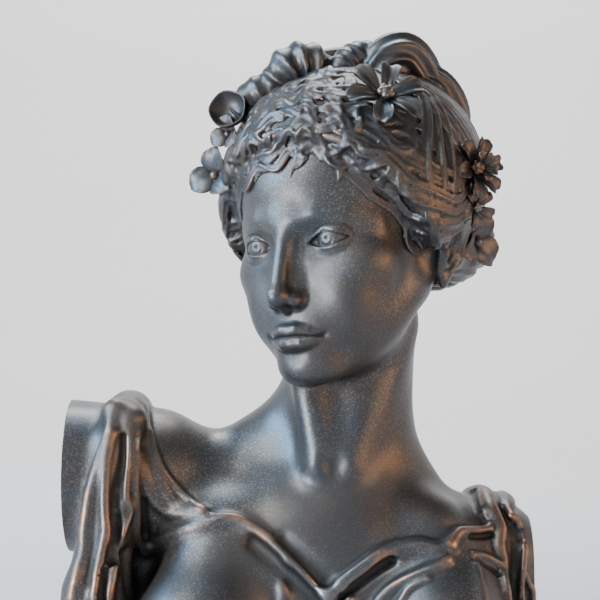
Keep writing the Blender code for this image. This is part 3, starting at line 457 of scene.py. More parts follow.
# Hollows between the folds, in the same measures.
HOLLOWS = [
    ([(-158, 202), (-159, 184), (-163, 162), (-164, 142), (-165, 122), (-167, 108)], 1.8, 1.4, 5.0, 4.0),
    ([(-164, 140), (-165, 130), (-165, 121)], 1.0, 3.4, 1.4, 3.0),
    ([(-143, 152), (-142, 138), (-141, 126)], 2.0, 1.6, 2.8, 4.0),
    ([(-157, 112), (-155, 88), (-153, 60), (-152, 20), (-150, -20)], 0.0, 4.0, 9.0, 8.0),
    ([(-175, 100), (-176, 76), (-176, 30), (-176, -20)], 3.2, 1.6, 4.0, 5.0),
    ([(-60, 120), (-48, 110), (-36, 98), (-24, 86), (-12, 74)], 2.6, 2.6, 4.2, 8.0),
    ([(-36, 123), (-26, 114), (-14, 102), (-5, 92)], 3.0, 3.4, 5.0, 7.0),
    ([(8, 80), (20, 88), (34, 99), (46, 107)], 1.2, 3.2, 3.0, 6.0),
    ([(106, 125), (114, 125), (122, 126)], 2.0, 1.8, 2.0, 3.0),
    ([(116, 103), (121, 100), (126, 96)], 1.2, 2.2, 3.2, 3.0),
    ([(129, 146), (135, 138), (140, 130), (142, 118), (142, 100), (141, 80), (141, 30), (140, -20)],
     2.2, 2.2, 3.4, 5.0),
]

# The straps where they pass over her shoulders and down her back.
STRAPS = [
    ([(-159, -26, 214), (-159, -6, 231), (-158, 20, 233), (-157, 50, 218), (-155, 76, 176),
      (-147, 92, 120), (-141, 100, -20)], 10, 8),
    ([(-151, -28, 214), (-151, -4, 230), (-151, 22, 231), (-149, 52, 214), (-138, 80, 170),
      (-125, 98, 116), (-114, 106, -20)], 10, 7),
    ([(125, -12, 155), (123, 8, 163), (120, 36, 164), (114, 68, 153), (106, 92, 110),
      (98, 104, 50), (92, 104, -20)], 6, 7),
    ([(139, -10, 145), (138, 10, 149), (136, 38, 149), (133, 62, 138), (128, 78, 96),
      (122, 86, 40), (116, 88, -20)], 4, 7),
]
BACK_HEM = [(-122, 98, 112), (-80, 106, 84), (-30, 114, 70), (16, 112, 70), (62, 108, 80), (100, 94, 104)]
BACK_OUTLINE = [(-205, -300), (-205, 80), (-150, 112), (-154, 176), (-158, 222), (-160, 320), (-148, 320),
                (-145, 216), (-137, 170), (-122, 112), (-80, 84), (-30, 70), (16, 70), (62, 80), (100, 104),
                (109, 130), (115, 320), (138, 320), (133, 138), (128, 96), (122, 40), (112, -300)]


def on_cloth(folds):
    """Folds given where the viewer sees them, as lines on the cloth with radii and fillets."""
    places = np.vstack([line for line, _, _, _, _ in folds])
    lifts = np.concatenate([np.full(len(line), lift) for line, lift, _, _, _ in folds])
    points = seen(places, blank_gown, lifts)
    lines = []
    start = 0
    for line, _, first, last, fillet in folds:
        smooth = curved(points[start:start + len(line)], 3 * len(line))
        lines.append((smooth, np.linspace(first, last, len(smooth)), fillet))
        start += len(line)
    return lines


def back_lines():
    """The straps and the hem behind, as lines on the cloth."""
    lines = []
    for line, first, last in STRAPS + [(BACK_HEM, 5, 5)]:
        points = curved(pressed(curved(line, 3 * len(line)), blank_gown, 1.5), 4 * len(line))
        lines.append((points, np.linspace(first, last, len(points)), 8.0))
    across, _, heights = zip(*BACK_HEM)
    for i in range(9):
        x = -118 + 26 * i
        top = np.interp(x, across, heights) - 6.0
        line = [(x, 100, top), (x * 0.9, 104, 0.5 * top), (x * 0.84, 104, -20)]
        points = pressed(curved(line, 9), blank_gown, 1.0)
        lines.append((points, np.linspace(1.5, 5.0, len(points)), 8.0))
    return lines


def front_outline():
    """The cloth's outline on the seen plane, closed far above and below."""
    over_arm = [(-164, 320), (-142, 320)]
    over_shoulder = [(117, 150), (115, 320), (142, 320)]
    line = [(-205, -300)] + RIGHT_OUTER[::-1] + over_arm + COWL_EDGE + RIGHT_HEM[4:]
    return np.array(line + LEFT_HEM[1:-1] + over_shoulder + LEFT_OUTER + [(145, -300)], float)


def outside(points, outline):
    """Signed distance on a plane to a closed outline."""
    ends = np.roll(outline, -1, axis=0)
    nearest = np.full(len(points), 1e9)
    within = np.zeros(len(points), bool)
    for a, b in zip(outline, ends):
        ab = b - a
        ap = points - a
        along = np.clip(ap @ ab / (ab @ ab), 0.0, 1.0)
        nearest = np.minimum(nearest, ((ap - along[:, None] * ab) ** 2).sum(1))
        crosses = (a[1] > points[:, 1]) != (b[1] > points[:, 1])
        rise = np.where(crosses, points[:, 1] - a[1], 0.0)
        within ^= crosses & (ap[:, 0] < ab[0] * rise / (ab[1] if ab[1] else 1.0))
    return np.sqrt(nearest) * np.where(within, -1.0, 1.0)


# The cloth's thickness, how near the body it is worked out, and how far back its front outline holds.
CLOTH = 2.6
CLOTH_REACH = 14.0
SIDE_SEAM = 22.0

# Height above which the hair is worked out.
HAIR_FLOOR = 250.0

# Hair, in the head's frame. Its places are (azimuth, elevation) in degrees about its middle,
# with azimuth 0 over her face and growing towards her left.
HAIR_MIDDLE = np.array((0.0, 6.0, 38.0))
HAIRLINE = {0: 13, 20: 11, 32: 5, 50: -9, 62: -25, 74: -41, 84: -36, 94: -26, 106: -36, 120: -48, 180: -54}
KNOT_MIDDLE = (8, 90, -6)
KNOT_RADII = (56, 40, 36)


def hairline(azimuth):
    """Elevation of the hairline at an azimuth, the same on both sides."""
    return np.interp(np.abs(azimuth), list(HAIRLINE), list(HAIRLINE.values()))


def hairline_height(p, azimuth):
    """How high points stand off the bare head, up to 12, fading out behind the ears."""
    bare = np.minimum(egg(p, *SKULL), egg(p, *FACE))
    return np.clip(bare, 0.0, 12.0) * np.clip((100.0 - azimuth) / 30.0, 0.0, 1.0)


def hair_angles(p):
    """Azimuths and elevations, in degrees about the hair's middle, of points in the head's frame."""
    q = p - HAIR_MIDDLE
    elevations = np.degrees(np.arctan2(q[:, 2], np.hypot(q[:, 0], q[:, 1])))
    return np.degrees(np.arctan2(q[:, 0], -q[:, 1])), elevations


def hair_mass(p):
    """Signed distance to the hair's main volumes, in the head's frame."""
    clay = Clay(p)
    hair_volumes(clay)
    azimuth, elevation = hair_angles(p)
    azimuth = np.abs(azimuth)
    return carved(clay.d, 1.2 * (elevation - hairline(azimuth)) - hairline_height(p, azimuth), 5.0)


def hair_volumes(clay):
    clay.egg(HAIR_MIDDLE, (96, 103, 95), 1)
    clay.egg((2, 46, 48), (70, 68, 75), 22)
    clay.egg(KNOT_MIDDLE, KNOT_RADII, 14)
    for side in (1, -1):
        clay.egg((side * 51, -12, 24), (47, 50, 48), 12)


class Figure:
    """The bust without locks and flowers, as one field whose folds are worked out once."""

    def __init__(self):
        self.ridges = on_cloth(RIDGES) + back_lines()
        self.hollows = on_cloth(HOLLOWS)
        self.outlines = (front_outline(), np.array(BACK_OUTLINE, float))

    def __call__(self, points):
        clay = Clay(points)
        clay.d = blank_gown(points)
        close = np.abs(clay.d) < CLOTH_REACH
        front = close & (points[:, 1] < SIDE_SEAM)
        back = close & (points[:, 1] >= SIDE_SEAM)
        eye = np.array(VIEWER)
        on_plane = eye + (points[front] - eye) * (-eye[1] / (points[front, 1:2] - eye[1]))
        sides = ((front, on_plane, self.outlines[0]), (back, points[back], self.outlines[1]))
        for near, places, outline in sides:
            sheet = np.maximum(clay.d[near] - CLOTH, outside(places[:, ::2], outline) * 0.9)
            clay.d[near] = melted(clay.d[near], sheet, 1.0)
        for line, radii, fillet in self.ridges:
            clay.trail(line, radii, fillet)
        for line, radii, fillet in self.hollows:
            clay.trail(line, radii, fillet, how=carved)
        upper = points[:, 2] > HAIR_FLOOR
        clay.d[upper] = melted(clay.d[upper], hair_mass(to_head(points[upper])), 2.0)
        return clay.d


# The least radius of a ball in the rough shape. Thinner lumps are left out of it.
LEAST_BALL = 7.0


class Balls:
    """Takes the same lumps as Clay and puts balls in their places, as a rough shape."""

    def __init__(self):
        self.places = []
        self.frame = Matrix.Identity(4)

    def ball(self, centre, radii):
        place = self.frame @ Matrix.Translation(centre) @ Matrix.Diagonal((*radii, 1.0))
        self.places.append(np.array(place))

    def work(self, how, shape, middle, reach, k):
        pass

    def egg(self, centre, radii, k, turn=None, how=melted):
        if how is melted and max(radii) > LEAST_BALL:
            self.ball(centre, [max(r, LEAST_BALL) for r in radii])

    def limb(self, a, b, ra, rb, k, how=melted):
        if how is carved or max(ra, rb) < LEAST_BALL:
            return
        a, b = Vector(a), Vector(b)
        steps = max(2, int(2.0 * (b - a).length / min(ra, rb)) + 2)
        for i in range(steps):
            f = i / (steps - 1)
            self.ball(a.lerp(b, f), (ra + (rb - ra) * f,) * 3)

    def trail(self, points, radii, k, how=melted):
        for i in range(len(points) - 1):
            self.limb(points[i], points[i + 1], radii[i], radii[i + 1], k, how)


def ball_mesh(rings, around):
    """A round ball of unit radius, to be bent into many shapes."""
    bm = bmesh.new()
    bmesh.ops.create_uvsphere(bm, u_segments=around, v_segments=rings, radius=1.0)
    mesh = bpy.data.meshes.new("ball")
    bm.to_mesh(mesh)
    bm.free()
    return mesh


def repeated(name, template, shapes):
    """One object that repeats a template mesh, with the points given for each copy."""
    bm = bmesh.new()
    for _ in shapes:
        bm.from_mesh(template)
    mesh = bpy.data.meshes.new(name)
    bm.to_mesh(mesh)
    bm.free()
    bpy.data.meshes.remove(template)
    obj = bpy.data.objects.new(name, mesh)
    bpy.context.scene.collection.objects.link(obj)
    put(mesh, np.vstack(shapes))
    return obj


def rough_figure(name):
    """Overlapping balls about where the figure is."""
    balls = Balls()
    body(balls)
    bunched_cloth(balls)
    balls.frame = Matrix.Translation(HEAD_PLACE) @ Matrix(HEAD_AXES.tolist()).to_4x4()
    head(balls)
    hair_volumes(balls)
    ball = ball_mesh(12, 20)
    points = np.hstack((coordinates(ball) * 1.03, np.ones((len(ball.vertices), 1))))
    return repeated(name, ball, [(points @ place.T)[:, :3] for place in balls.places])


def swapped(obj):
    """The object's mesh becomes what its modifiers make of it."""
    graph = bpy.context.evaluated_depsgraph_get()
    mesh = bpy.data.meshes.new_from_object(obj.evaluated_get(graph))
    obj.modifiers.clear()
    old = obj.data
    obj.data = mesh
    bpy.data.meshes.remove(old)


def remeshed(obj, voxel):
    """The object's mesh as one closed skin of even faces, voxel wide."""
    modifier = obj.modifiers.new("one_skin", "REMESH")
    modifier.mode = "VOXEL"
    modifier.voxel_size = voxel
    swapped(obj)


def coordinates(mesh):
    co = np.empty(len(mesh.vertices) * 3, np.float32)
    mesh.vertices.foreach_get("co", co)
    return co.reshape(-1, 3).astype(float)


def put(mesh, co):
    mesh.vertices.foreach_set("co", co.astype(np.float32).ravel())
    mesh.update()


def normals_of(mesh):
    n = np.empty(len(mesh.vertices) * 3, np.float32)
    mesh.vertex_normals.foreach_get("vector", n)
    return n.reshape(-1, 3).astype(float)


def edges_of(mesh):
    edges = np.empty(len(mesh.edges) * 2, np.int32)
    mesh.edges.foreach_get("vertices", edges)
    return edges.reshape(-1, 2)


def neighbours_mean(values, edges):
    """The mean of each point's neighbours."""
    count = np.bincount(edges.ravel(), minlength=len(values))
    total = np.empty_like(values)
    for axis in range(values.shape[1]):
        total[:, axis] = np.bincount(edges[:, 0], values[edges[:, 1], axis], len(values))
        total[:, axis] += np.bincount(edges[:, 1], values[edges[:, 0], axis], len(values))
    return total / np.maximum(count, 1)[:, None]


def creased(co):
    """The shoulders, chest and cheeks of the rough figure, where its balls meet in creases."""
    local = to_head(co)
    cheeks = (local[:, 1] < -40.0) & (np.abs(local[:, 2] + 40.0) < 60.0) & (np.abs(local[:, 0]) < 60.0)
    return (co[:, 2] < 240.0) | cheeks


def softened(obj, chosen, rounds):
    """Evens out a skin where chosen says so of its points."""
    edges = edges_of(obj.data)
    co = coordinates(obj.data)
    share = 0.5 * chosen(co)[:, None]
    for _ in range(rounds):
        co += share * (neighbours_mean(co, edges) - co)
    put(obj.data, co)


def settle(obj, field, passes, slide=0.4, calm=0):
    """Moves the skin onto the zero of a field, evening out its faces as it goes.
    calm rounds of averaging keep neighbours from crossing in a crease."""
    mesh = obj.data
    edges = edges_of(mesh)
    co = coordinates(mesh)
    for _ in range(passes):
        n = normals_of(mesh)
        for _ in range(calm):
            n = unit(0.4 * n + 0.6 * neighbours_mean(n, edges))
        co -= n * np.clip(field(co), -6.0, 6.0)[:, None] * 0.9
        drift = neighbours_mean(co, edges) - co
        drift -= n * (drift * n).sum(1)[:, None]
        co += slide * drift
        put(mesh, co)
    n = normals_of(mesh)
    co -= n * np.clip(field(co), -2.0, 2.0)[:, None]
    put(mesh, co)


def refined(obj, wanted):
    """Splits the faces in half each way where wanted says so of their points."""
    bm = bmesh.new()
    bm.from_mesh(obj.data)
    chosen = wanted(coordinates(obj.data))
    edges = [e for e in bm.edges if chosen[e.verts[0].index] and chosen[e.verts[1].index]]
    bmesh.ops.subdivide_edges(bm, edges=edges, cuts=1, use_grid_fill=True)
    crowded = [f for f in bm.faces if len(f.verts) > 4]
    bmesh.ops.triangulate(bm, faces=crowded)
    bm.to_mesh(obj.data)
    bm.free()


# Width of the even margin of skin along each flat cut.
CUT_MARGIN = 1.0


def cut_flat(obj):
    """Cuts the piece off flat below and at both arms, with an even margin, and closes the cuts."""
    bm = bmesh.new()
    bm.from_mesh(obj.data)
    cuts = [
        ((0.0, 0.0, 0.0), (0.0, 0.0, -1.0)),
        ((-RAISED_ARM_CUT, 0.0, 0.0), (-1.0, 0.0, 0.0)),
        ((LOWERED_ARM_CUT, 0.0, 0.0), (1.0, 0.0, 0.0)),
    ]
    for point, away in cuts:
        inside = Vector(point) - CUT_MARGIN * Vector(away)
        for place, cleared in ((inside, False), (point, True)):
            whole = bm.verts[:] + bm.edges[:] + bm.faces[:]
            bmesh.ops.bisect_plane(
                bm, geom=whole, dist=1e-3, plane_co=place, plane_no=away, clear_outer=cleared
            )
        rim = [e for e in bm.edges if e.is_boundary]
        for face in bmesh.ops.holes_fill(bm, edges=rim)["faces"]:
            face.smooth = False
    bmesh.ops.triangulate(bm, faces=[f for f in bm.faces if len(f.verts) > 4])
    bmesh.ops.recalc_face_normals(bm, faces=bm.faces[:])
    bm.to_mesh(obj.data)
    bm.free()


def written(mesh, name, values):
    """Keeps one number for each point under a name, for the bronze to read."""
    layer = mesh.attributes.new(name, "FLOAT", "POINT")
    layer.data.foreach_set("value", np.asarray(values, np.float32))


def mark_edges(obj, reach, rounds=2):
    """Writes how sharply each point of the skin bulges or sinks, from -1 to 1 at a bend of reach."""
    mesh = obj.data
    co = coordinates(mesh)
    edges = edges_of(mesh)
    away = ((co - neighbours_mean(co, edges)) * normals_of(mesh)).sum(1)
    lengths = ((co[edges[:, 0]] - co[edges[:, 1]]) ** 2).sum(1)
    count = np.maximum(np.bincount(edges.ravel(), minlength=len(co)), 1)
    square = np.bincount(edges[:, 0], lengths, len(co)) + np.bincount(edges[:, 1], lengths, len(co))
    bend = (2.0 * away / np.maximum(square / count, 1e-6))[:, None]
    for _ in range(rounds):
        bend = 0.5 * bend + 0.5 * neighbours_mean(bend, edges)
    written(mesh, "edge", np.clip(bend[:, 0] / reach, -1.0, 1.0))


# The bend, as one over its radius in grains, that counts as a full edge on skin and on strands, and
# how high cloth over the body and a strand over the head stand when they count as fully raised.
SKIN_BEND = 0.22
STRAND_BEND = 0.60
CLOTH_RELIEF = 6.0
STRAND_RELIEF = 4.0


def finish_piece(obj, material, relief, bend):
    """Marks a piece's edges and relief, sets it in metres and in the frame, and gives it bronze."""
    mark_edges(obj, bend)
    written(obj.data, "relief", relief)
    obj.data.transform(Matrix.Scale(GRAIN, 4))
    obj.data.materials.append(material)
    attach(obj, "root")
    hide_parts("bronze_bust")


# Rolls of hair piled on her crown: the line of each roll, its radius at both ends, how far apart its
# grooves are, how deep they go as a share of the radius, and how many run lengthwise.
ROLLS = [
    ([(-70, 8, 446), (-62, 2, 457), (-50, -2, 465), (-36, -2, 469)], 14, 17, 9.0, 0.14, 0.5),
    ([(-44, -6, 466), (-30, -8, 481), (-14, -4, 483), (-2, 8, 470)], 21, 20, 10.0, 0.30, 0.5),
    ([(0, -12, 466), (10, -8, 483), (23, 0, 491), (38, 12, 489), (48, 26, 478)], 13, 16, 7.0, 0.22, 1.0),
    ([(30, -6, 470), (42, -4, 488), (56, 4, 492), (70, 16, 478), (76, 26, 458)], 20, 21, 60.0, 0.22, 9.0),
    ([(62, 8, 476), (80, 18, 470), (92, 30, 448), (92, 48, 422)], 18, 22, 80.0, 0.20, 10.0),
    ([(-30, 22, 476), (-6, 34, 486), (22, 40, 488), (48, 44, 478)], 18, 20, 60.0, 0.20, 6.0),
    ([(-62, 24, 452), (-50, 44, 452), (-30, 58, 454), (-4, 66, 452)], 15, 17, 60.0, 0.14, 5.0),
    ([(20, 64, 464), (44, 66, 456), (64, 62, 442), (76, 56, 424)], 17, 19, 60.0, 0.14, 6.0),
]

# Flowers and leaves on the hair: the place that each grows out towards, how far it stands off the
# hair, its radius, number of petals (3 for leaves and 0 for a bell), how far they cup, and the way
# it faces if not straight out.
FLOWERS = [
    ((34, -60, 441), 6, 30, 6, 0.35, None),
    ((98, -38, 402), 4, 24, 6, 0.60, (0.62, -0.77, 0.12)),
    ((98, -38, 402), 9, 13, 5, 1.10, (0.62, -0.77, 0.12)),
    ((96, -38, 376), 5, 17, 5, 0.30, (0.55, -0.83, -0.05)),
    ((-80, -16, 452), 17, 15, 0, 0.90, (-0.30, -0.90, 0.25)),
    ((-80, -10, 433), 7, 15, 3, 0.40, (-0.60, -0.75, 0.10)),
    ((-97, -4, 402), 8, 21, 3, 0.45, (-0.55, -0.80, 0.10)),
    ((124, 4, 346), 6, 24, 3, 0.30, (0.75, -0.60, -0.05)),
    ((70, 104, 410), 5, 24, 6, 0.40, None),
    ((-30, 92, 420), 5, 24, 5, 0.40, None),
]

# The wave length of the hair in degrees, the tips on the brow, each as its start, end and hook, the
# ringlets, each as its middle, size, first angle and turn, and the path of the strand over the ear.
WAVE = 16.0
BROW_TIPS = [
    ((21, 22), (3, 8), 5), ((12, 21), (15, 9), -6), ((15, 19), (25, 6), 6), ((4, 23), (-5, 10), -5),
    ((-8, 24), (-15, 9), 5), ((-16, 24), (-26, 8), 6), ((-26, 22), (-34, 4), -6), ((-36, 16), (-43, -3), 5),
    ((-43, 12), (-50, -9), -5), ((-50, 4), (-56, -18), 5), ((24, 17), (32, 2), -5), ((31, 13), (39, -3), 5),
    ((38, 8), (46, -8), -6), ((-57, -6), (-63, -27), -4), ((46, 0), (54, -17), 4),
]
RINGLETS = [
    (45, 5, 6.5, 120, 400), (-31, 16, 5.5, 60, -380), (-45, 6, 5.0, 80, -360), (35, 26, 6.5, 150, 330),
    (58, 16, 6.5, 130, 350), (-52, 22, 5.5, 60, -340), (-18, 42, 6.5, 20, -340),
]
TEMPLE_SWEEP = [(27, 6), (39, -3), (51, -14), (62, -23), (76, -26), (92, -22), (110, -22), (130, -26)]


def scalp(p):
    """Signed distance to the bare head with the hair's main volumes, in the head's frame."""
    clay = Clay(p)
    head(clay)
    return np.minimum(clay.d, hair_mass(p))


def hair_points(azimuths, elevations, lifts):
    """Points on the hair, or on the skin beside it, at the given angles in the head's frame."""
    a, e = np.radians(azimuths), np.radians(elevations)
    way = np.stack((np.sin(a) * np.cos(e), -np.cos(a) * np.cos(e), np.sin(e)), axis=1)
    out = np.full((len(way), 1), 140.0)
    for _ in range(50):
        out[:, 0] -= np.clip(0.8 * (scalp(HAIR_MIDDLE + out * way) - lifts), -6.0, 6.0)
    return HAIR_MIDDLE + out * way


def tapering(t):
    """Width along a lock that is widest near its root and ends in a point."""
    return 2.05 * t**0.4 * (1.0 - t) ** 0.7


def claw(t):
    """Width along a tip that stays full and ends bluntly."""
    return 1.45 * t**0.35 * (1.0 - t) ** 0.42


def even(t):
    """Width along a strand that is nearly the same all the way."""
    return (4.0 * t * (1.0 - t)) ** 0.35


def grooved(depth, turn):
    """Share of a strand's radius that stands, with one groove of a depth for each turn."""
    return 1.0 - depth * (0.5 - 0.5 * np.cos(turn))


class Lock:
    """A lock of hair along a path of (azimuth, elevation) places, lifted off the head.

    sway is how far it waves to each side in degrees, shift is where its first wave starts, as a share of
    a wave, and hook is how far its tip bends aside. high is the height of its section as a share of its
    radius.
    """

    def __init__(self, path, radius, sway=0.0, waves=1.0, shift=0.0, hook=0.0, lift=1.5, grooves=3,
                 high=0.6, profile=tapering, count=13):
        t = np.linspace(0.0, 1.0, count)
        line = at_shares(path, t)
        flat = np.maximum(np.cos(np.radians(line[:, 1])), 0.3)
        ahead = np.gradient(line, axis=0)
        ahead[:, 0] *= flat
        ahead = unit(ahead, 1e-3)
        side = sway * np.sin(2.0 * math.pi * (waves * t + shift)) + hook * t**4
        self.azimuths = line[:, 0] - ahead[:, 1] * side / flat
        self.elevations = line[:, 1] + ahead[:, 0] * side
        self.lifts = lift * (0.2 + 0.8 * np.sin(math.pi * np.minimum(1.0, 0.12 + t)))
        self.radius = radius
        self.grooves = grooves
        self.high = high
        self.profile = profile


def swept_locks(rng, radius):
    """Short overlapping waves that run from the parting down over the brow to both temples."""
    for side, parting, temple in ((-1, 15.0, -67.0), (1, 8.0, 70.0)):
        for row in range(12):
            high, low = 17.0 + 5.6 * row, -22.5 + 5.8 * row
            start = rng.uniform(-0.16, 0.04)
            while start < 0.88:
                shares = start + rng.uniform(0.28, 0.42) * np.linspace(0.0, 1.0, 3)
                start += rng.uniform(0.22, 0.29)
                shares = np.clip(shares, 0.0, 1.04)
                azimuths = parting + (temple - parting) * shares
                heights = high + (low - high) * shares**1.6 + rng.uniform(-1.6, 1.6)
                path = np.stack((azimuths, heights), axis=1)
                run = (azimuths[-1] - azimuths[0]) / WAVE
                yield Lock(
                    path, radius * rng.uniform(0.85, 1.25), side * rng.uniform(1.8, 3.2), run,
                    azimuths[0] / WAVE + 0.12 * row + rng.uniform(-0.1, 0.1),
                    hook=rng.uniform(-5.0, 5.0), lift=rng.uniform(-1.4, 0.6) - 0.016 * row**2,
                    high=1.1 - 0.035 * row, grooves=2,
                )


def brow_tips(radius):
    """The tips that fall on the brow and along the temples, each bent like a claw."""
    for start, end, hook in BROW_TIPS:
        middle = (0.5 * (start[0] + end[0]), 0.5 * (start[1] + end[1]) + 1.0)
        yield Lock([start, middle, end], 0.9 * radius, hook=hook, lift=0.2, grooves=2, high=0.9,
                   profile=claw)


def small_curls(rng, radius):
    """Rings of hair, and thin wisps that break up the rows."""
    for azimuth, elevation, size, first, turn in RINGLETS:
        way = np.radians(first + turn * np.linspace(0.0, 1.0, 9))
        out = size * np.linspace(1.15, 0.55, 9)
        flat = math.cos(math.radians(elevation))
        path = np.stack((azimuth + out * np.cos(way) / flat, elevation + out * np.sin(way)), axis=1)
        yield Lock(path, radius * 0.8, lift=1.4, grooves=2, high=1.0, profile=claw, count=17)
    for _ in range(30):
        azimuth = rng.uniform(-62, 64)
        top = hairline(azimuth) + rng.uniform(5, 60)
        end = (azimuth + math.copysign(rng.uniform(4, 14), azimuth - 10), top - rng.uniform(3, 12))
        yield Lock(
            [(azimuth, top), end], radius * rng.uniform(0.4, 0.6), rng.uniform(-1.8, 1.8), 1.0,
            hook=rng.uniform(-8, 8), lift=rng.uniform(1.4, 2.6), grooves=1, count=11,
        )


def temple_locks(rng, radius):
    """Long strands that follow the hairline from the temples back over the tops of both ears."""
    for side in (1, -1):
        for i in range(6):
            path = [(side * (az + 1.2 * i), el + 5.4 * i) for az, el in TEMPLE_SWEEP]
            yield Lock(path, radius * rng.uniform(0.9, 1.15), side * 0.9, 4.0, 0.15 * i,
                       lift=rng.uniform(-0.6, 0.8), high=0.9, count=24)
        for i in range(3):
            path = [(side * (57 + 5 * i), -14), (side * (62 + 5 * i), -28),
                    (side * (67 + 4 * i), -42 + 2 * i)]
            yield Lock(path, radius * 0.9, side * 1.4, 1.2, 0.2 * i, 3.0 * side, 1.6, grooves=2)
        for i in range(4):
            path = [(side * (83 + 7 * i), 48), (side * (76 + 7 * i), 27), (side * (66 + 7 * i), 0),
                    (side * (65 + 6 * i), -20)]
            yield Lock(path, radius * 1.2, side * 0.9, 1.4, 0.2 * i, lift=1.2 - 0.3 * i, grooves=2,
                       high=1.0, count=18)


def combed_locks(radius):
    """Smooth combed strands down both sides and the back, and up from the nape."""
    for side in (1, -1):
        for i in range(9):
            path = [(side * (72 + 6.5 * i), 66 - i), (side * (82 + 6.5 * i), 30),
                    (side * (102 + 6 * i), -6), (side * (126 + 4 * i), -27)]
            yield Lock(path, radius * 1.4, 0.8 * side, 0.8, lift=2.0, profile=even, count=20)
    for i in range(15):
        azimuth = 112 + 9.7 * i
        end = (180 + (azimuth - 180) * 0.55, -10)
        yield Lock([(azimuth, 72), end], radius * 1.4, 1.6, 1.2, lift=2.0, profile=even, count=14)
        start = (azimuth, hairline(azimuth if azimuth < 180 else 360 - azimuth) + 1)
        end = (180 + (azimuth - 180) * 0.6, -30)
        yield Lock([start, end], radius * 1.1, 1.6, 0.8, lift=2.0, profile=even, count=10)


class Strands:
    """Collects bent copies of one ball as grooved strands of hair."""

    def __init__(self, rings, around):
        self.ball = ball_mesh(rings, around)
        co = coordinates(self.ball)
        self.along = np.arccos(np.clip(-co[:, 2], -1.0, 1.0)) / math.pi
        from_top = np.arctan2(-co[:, 0], co[:, 1])
        self.around = 0.5 * math.pi + from_top * (0.6 + 0.4 * (from_top / math.pi) ** 2)
        self.shapes = []

    def lay(self, line, ups, radius, wide, high, comb, profile):
        """One strand along a line. comb gives the share of the radius that stands at each point."""
        t = self.along
        middle = at_shares(line, t)
        ahead = at_shares(line, t + 0.02) - at_shares(line, t - 0.02)
        side = unit(np.cross(ahead, at_shares(ups, t)))
        up = unit(np.cross(side, ahead))
        r = radius * profile(t) * comb(t, self.around)
        across = side * (np.cos(self.around) * r * wide)[:, None]
        self.shapes.append(middle + across + up * (np.sin(self.around) * r * high)[:, None])

    def lay_locks(self, locks, depth):
        """Every lock as a strand on the head, with grooves of a depth combed along it."""
        points = hair_points(
            np.concatenate([lock.azimuths for lock in locks]),
            np.concatenate([lock.elevations for lock in locks]),
            np.concatenate([lock.lifts for lock in locks]),
        )
        ups = from_head(points + slope_of(points, scalp)) - from_head(points)
        points = from_head(points)
        start = 0
        for i, lock in enumerate(locks):
            end = start + len(lock.lifts)

            def comb(t, around, lock=lock, i=i):
                return grooved(depth, 2 * lock.grooves * around + 5.0 * t + i)

            self.lay(points[start:end], ups[start:end], lock.radius, 1.25, lock.high, comb, lock.profile)
            start = end

    def piece(self, name, material, voxel):
        """All the strands as one cast skin, with its creases softened."""
        obj = repeated(name, self.ball, self.shapes)
        remeshed(obj, voxel)
        co = coordinates(obj.data)
        edges = edges_of(obj.data)
        co = 0.75 * co + 0.25 * neighbours_mean(co, edges)
        put(obj.data, co)
        obj.data.shade_smooth()
        relief = np.clip(scalp(to_head(co)) / STRAND_RELIEF, 0.0, 1.0)
        finish_piece(obj, material, relief, STRAND_BEND)


def lay_knot(strands, radius, depth):
    """The knot's strands, wound across the back of the head in a slant."""
    for i in range(9):
        rise = math.radians(-64.0 + 16.0 * i)
        way = np.radians(np.linspace(-112.0, 112.0, 15))
        slant = rise + 0.30 * np.sin(way)
        out = np.stack((np.sin(way) * np.cos(slant), np.cos(way) * np.cos(slant), np.sin(slant)), axis=1)
        line = from_head(np.array(KNOT_MIDDLE) + out * (np.array(KNOT_RADII) + 1.0))

        def comb(t, around, i=i):
            return grooved(depth, 8.0 * around + 4.0 * t + i)

        strands.lay(line, from_head(out) - from_head(np.zeros(3)), radius, 1.1, 0.8, comb, even)


def flower_places():
    """For each flower its foot in the hair, its middle and the way it faces, in the figure's frame."""
    azimuths, elevations = hair_angles(to_head(np.array([place for place, *_ in FLOWERS], float)))
    feet = from_head(hair_points(azimuths, elevations, -2.0))
    away = unit(feet - from_head(HAIR_MIDDLE))
    places = []
    for foot, out, (_, stand, _, _, _, facing) in zip(feet, away, FLOWERS):
        places.append((foot, foot + out * (stand + 2.0), out if facing is None else np.array(facing)))
    return places


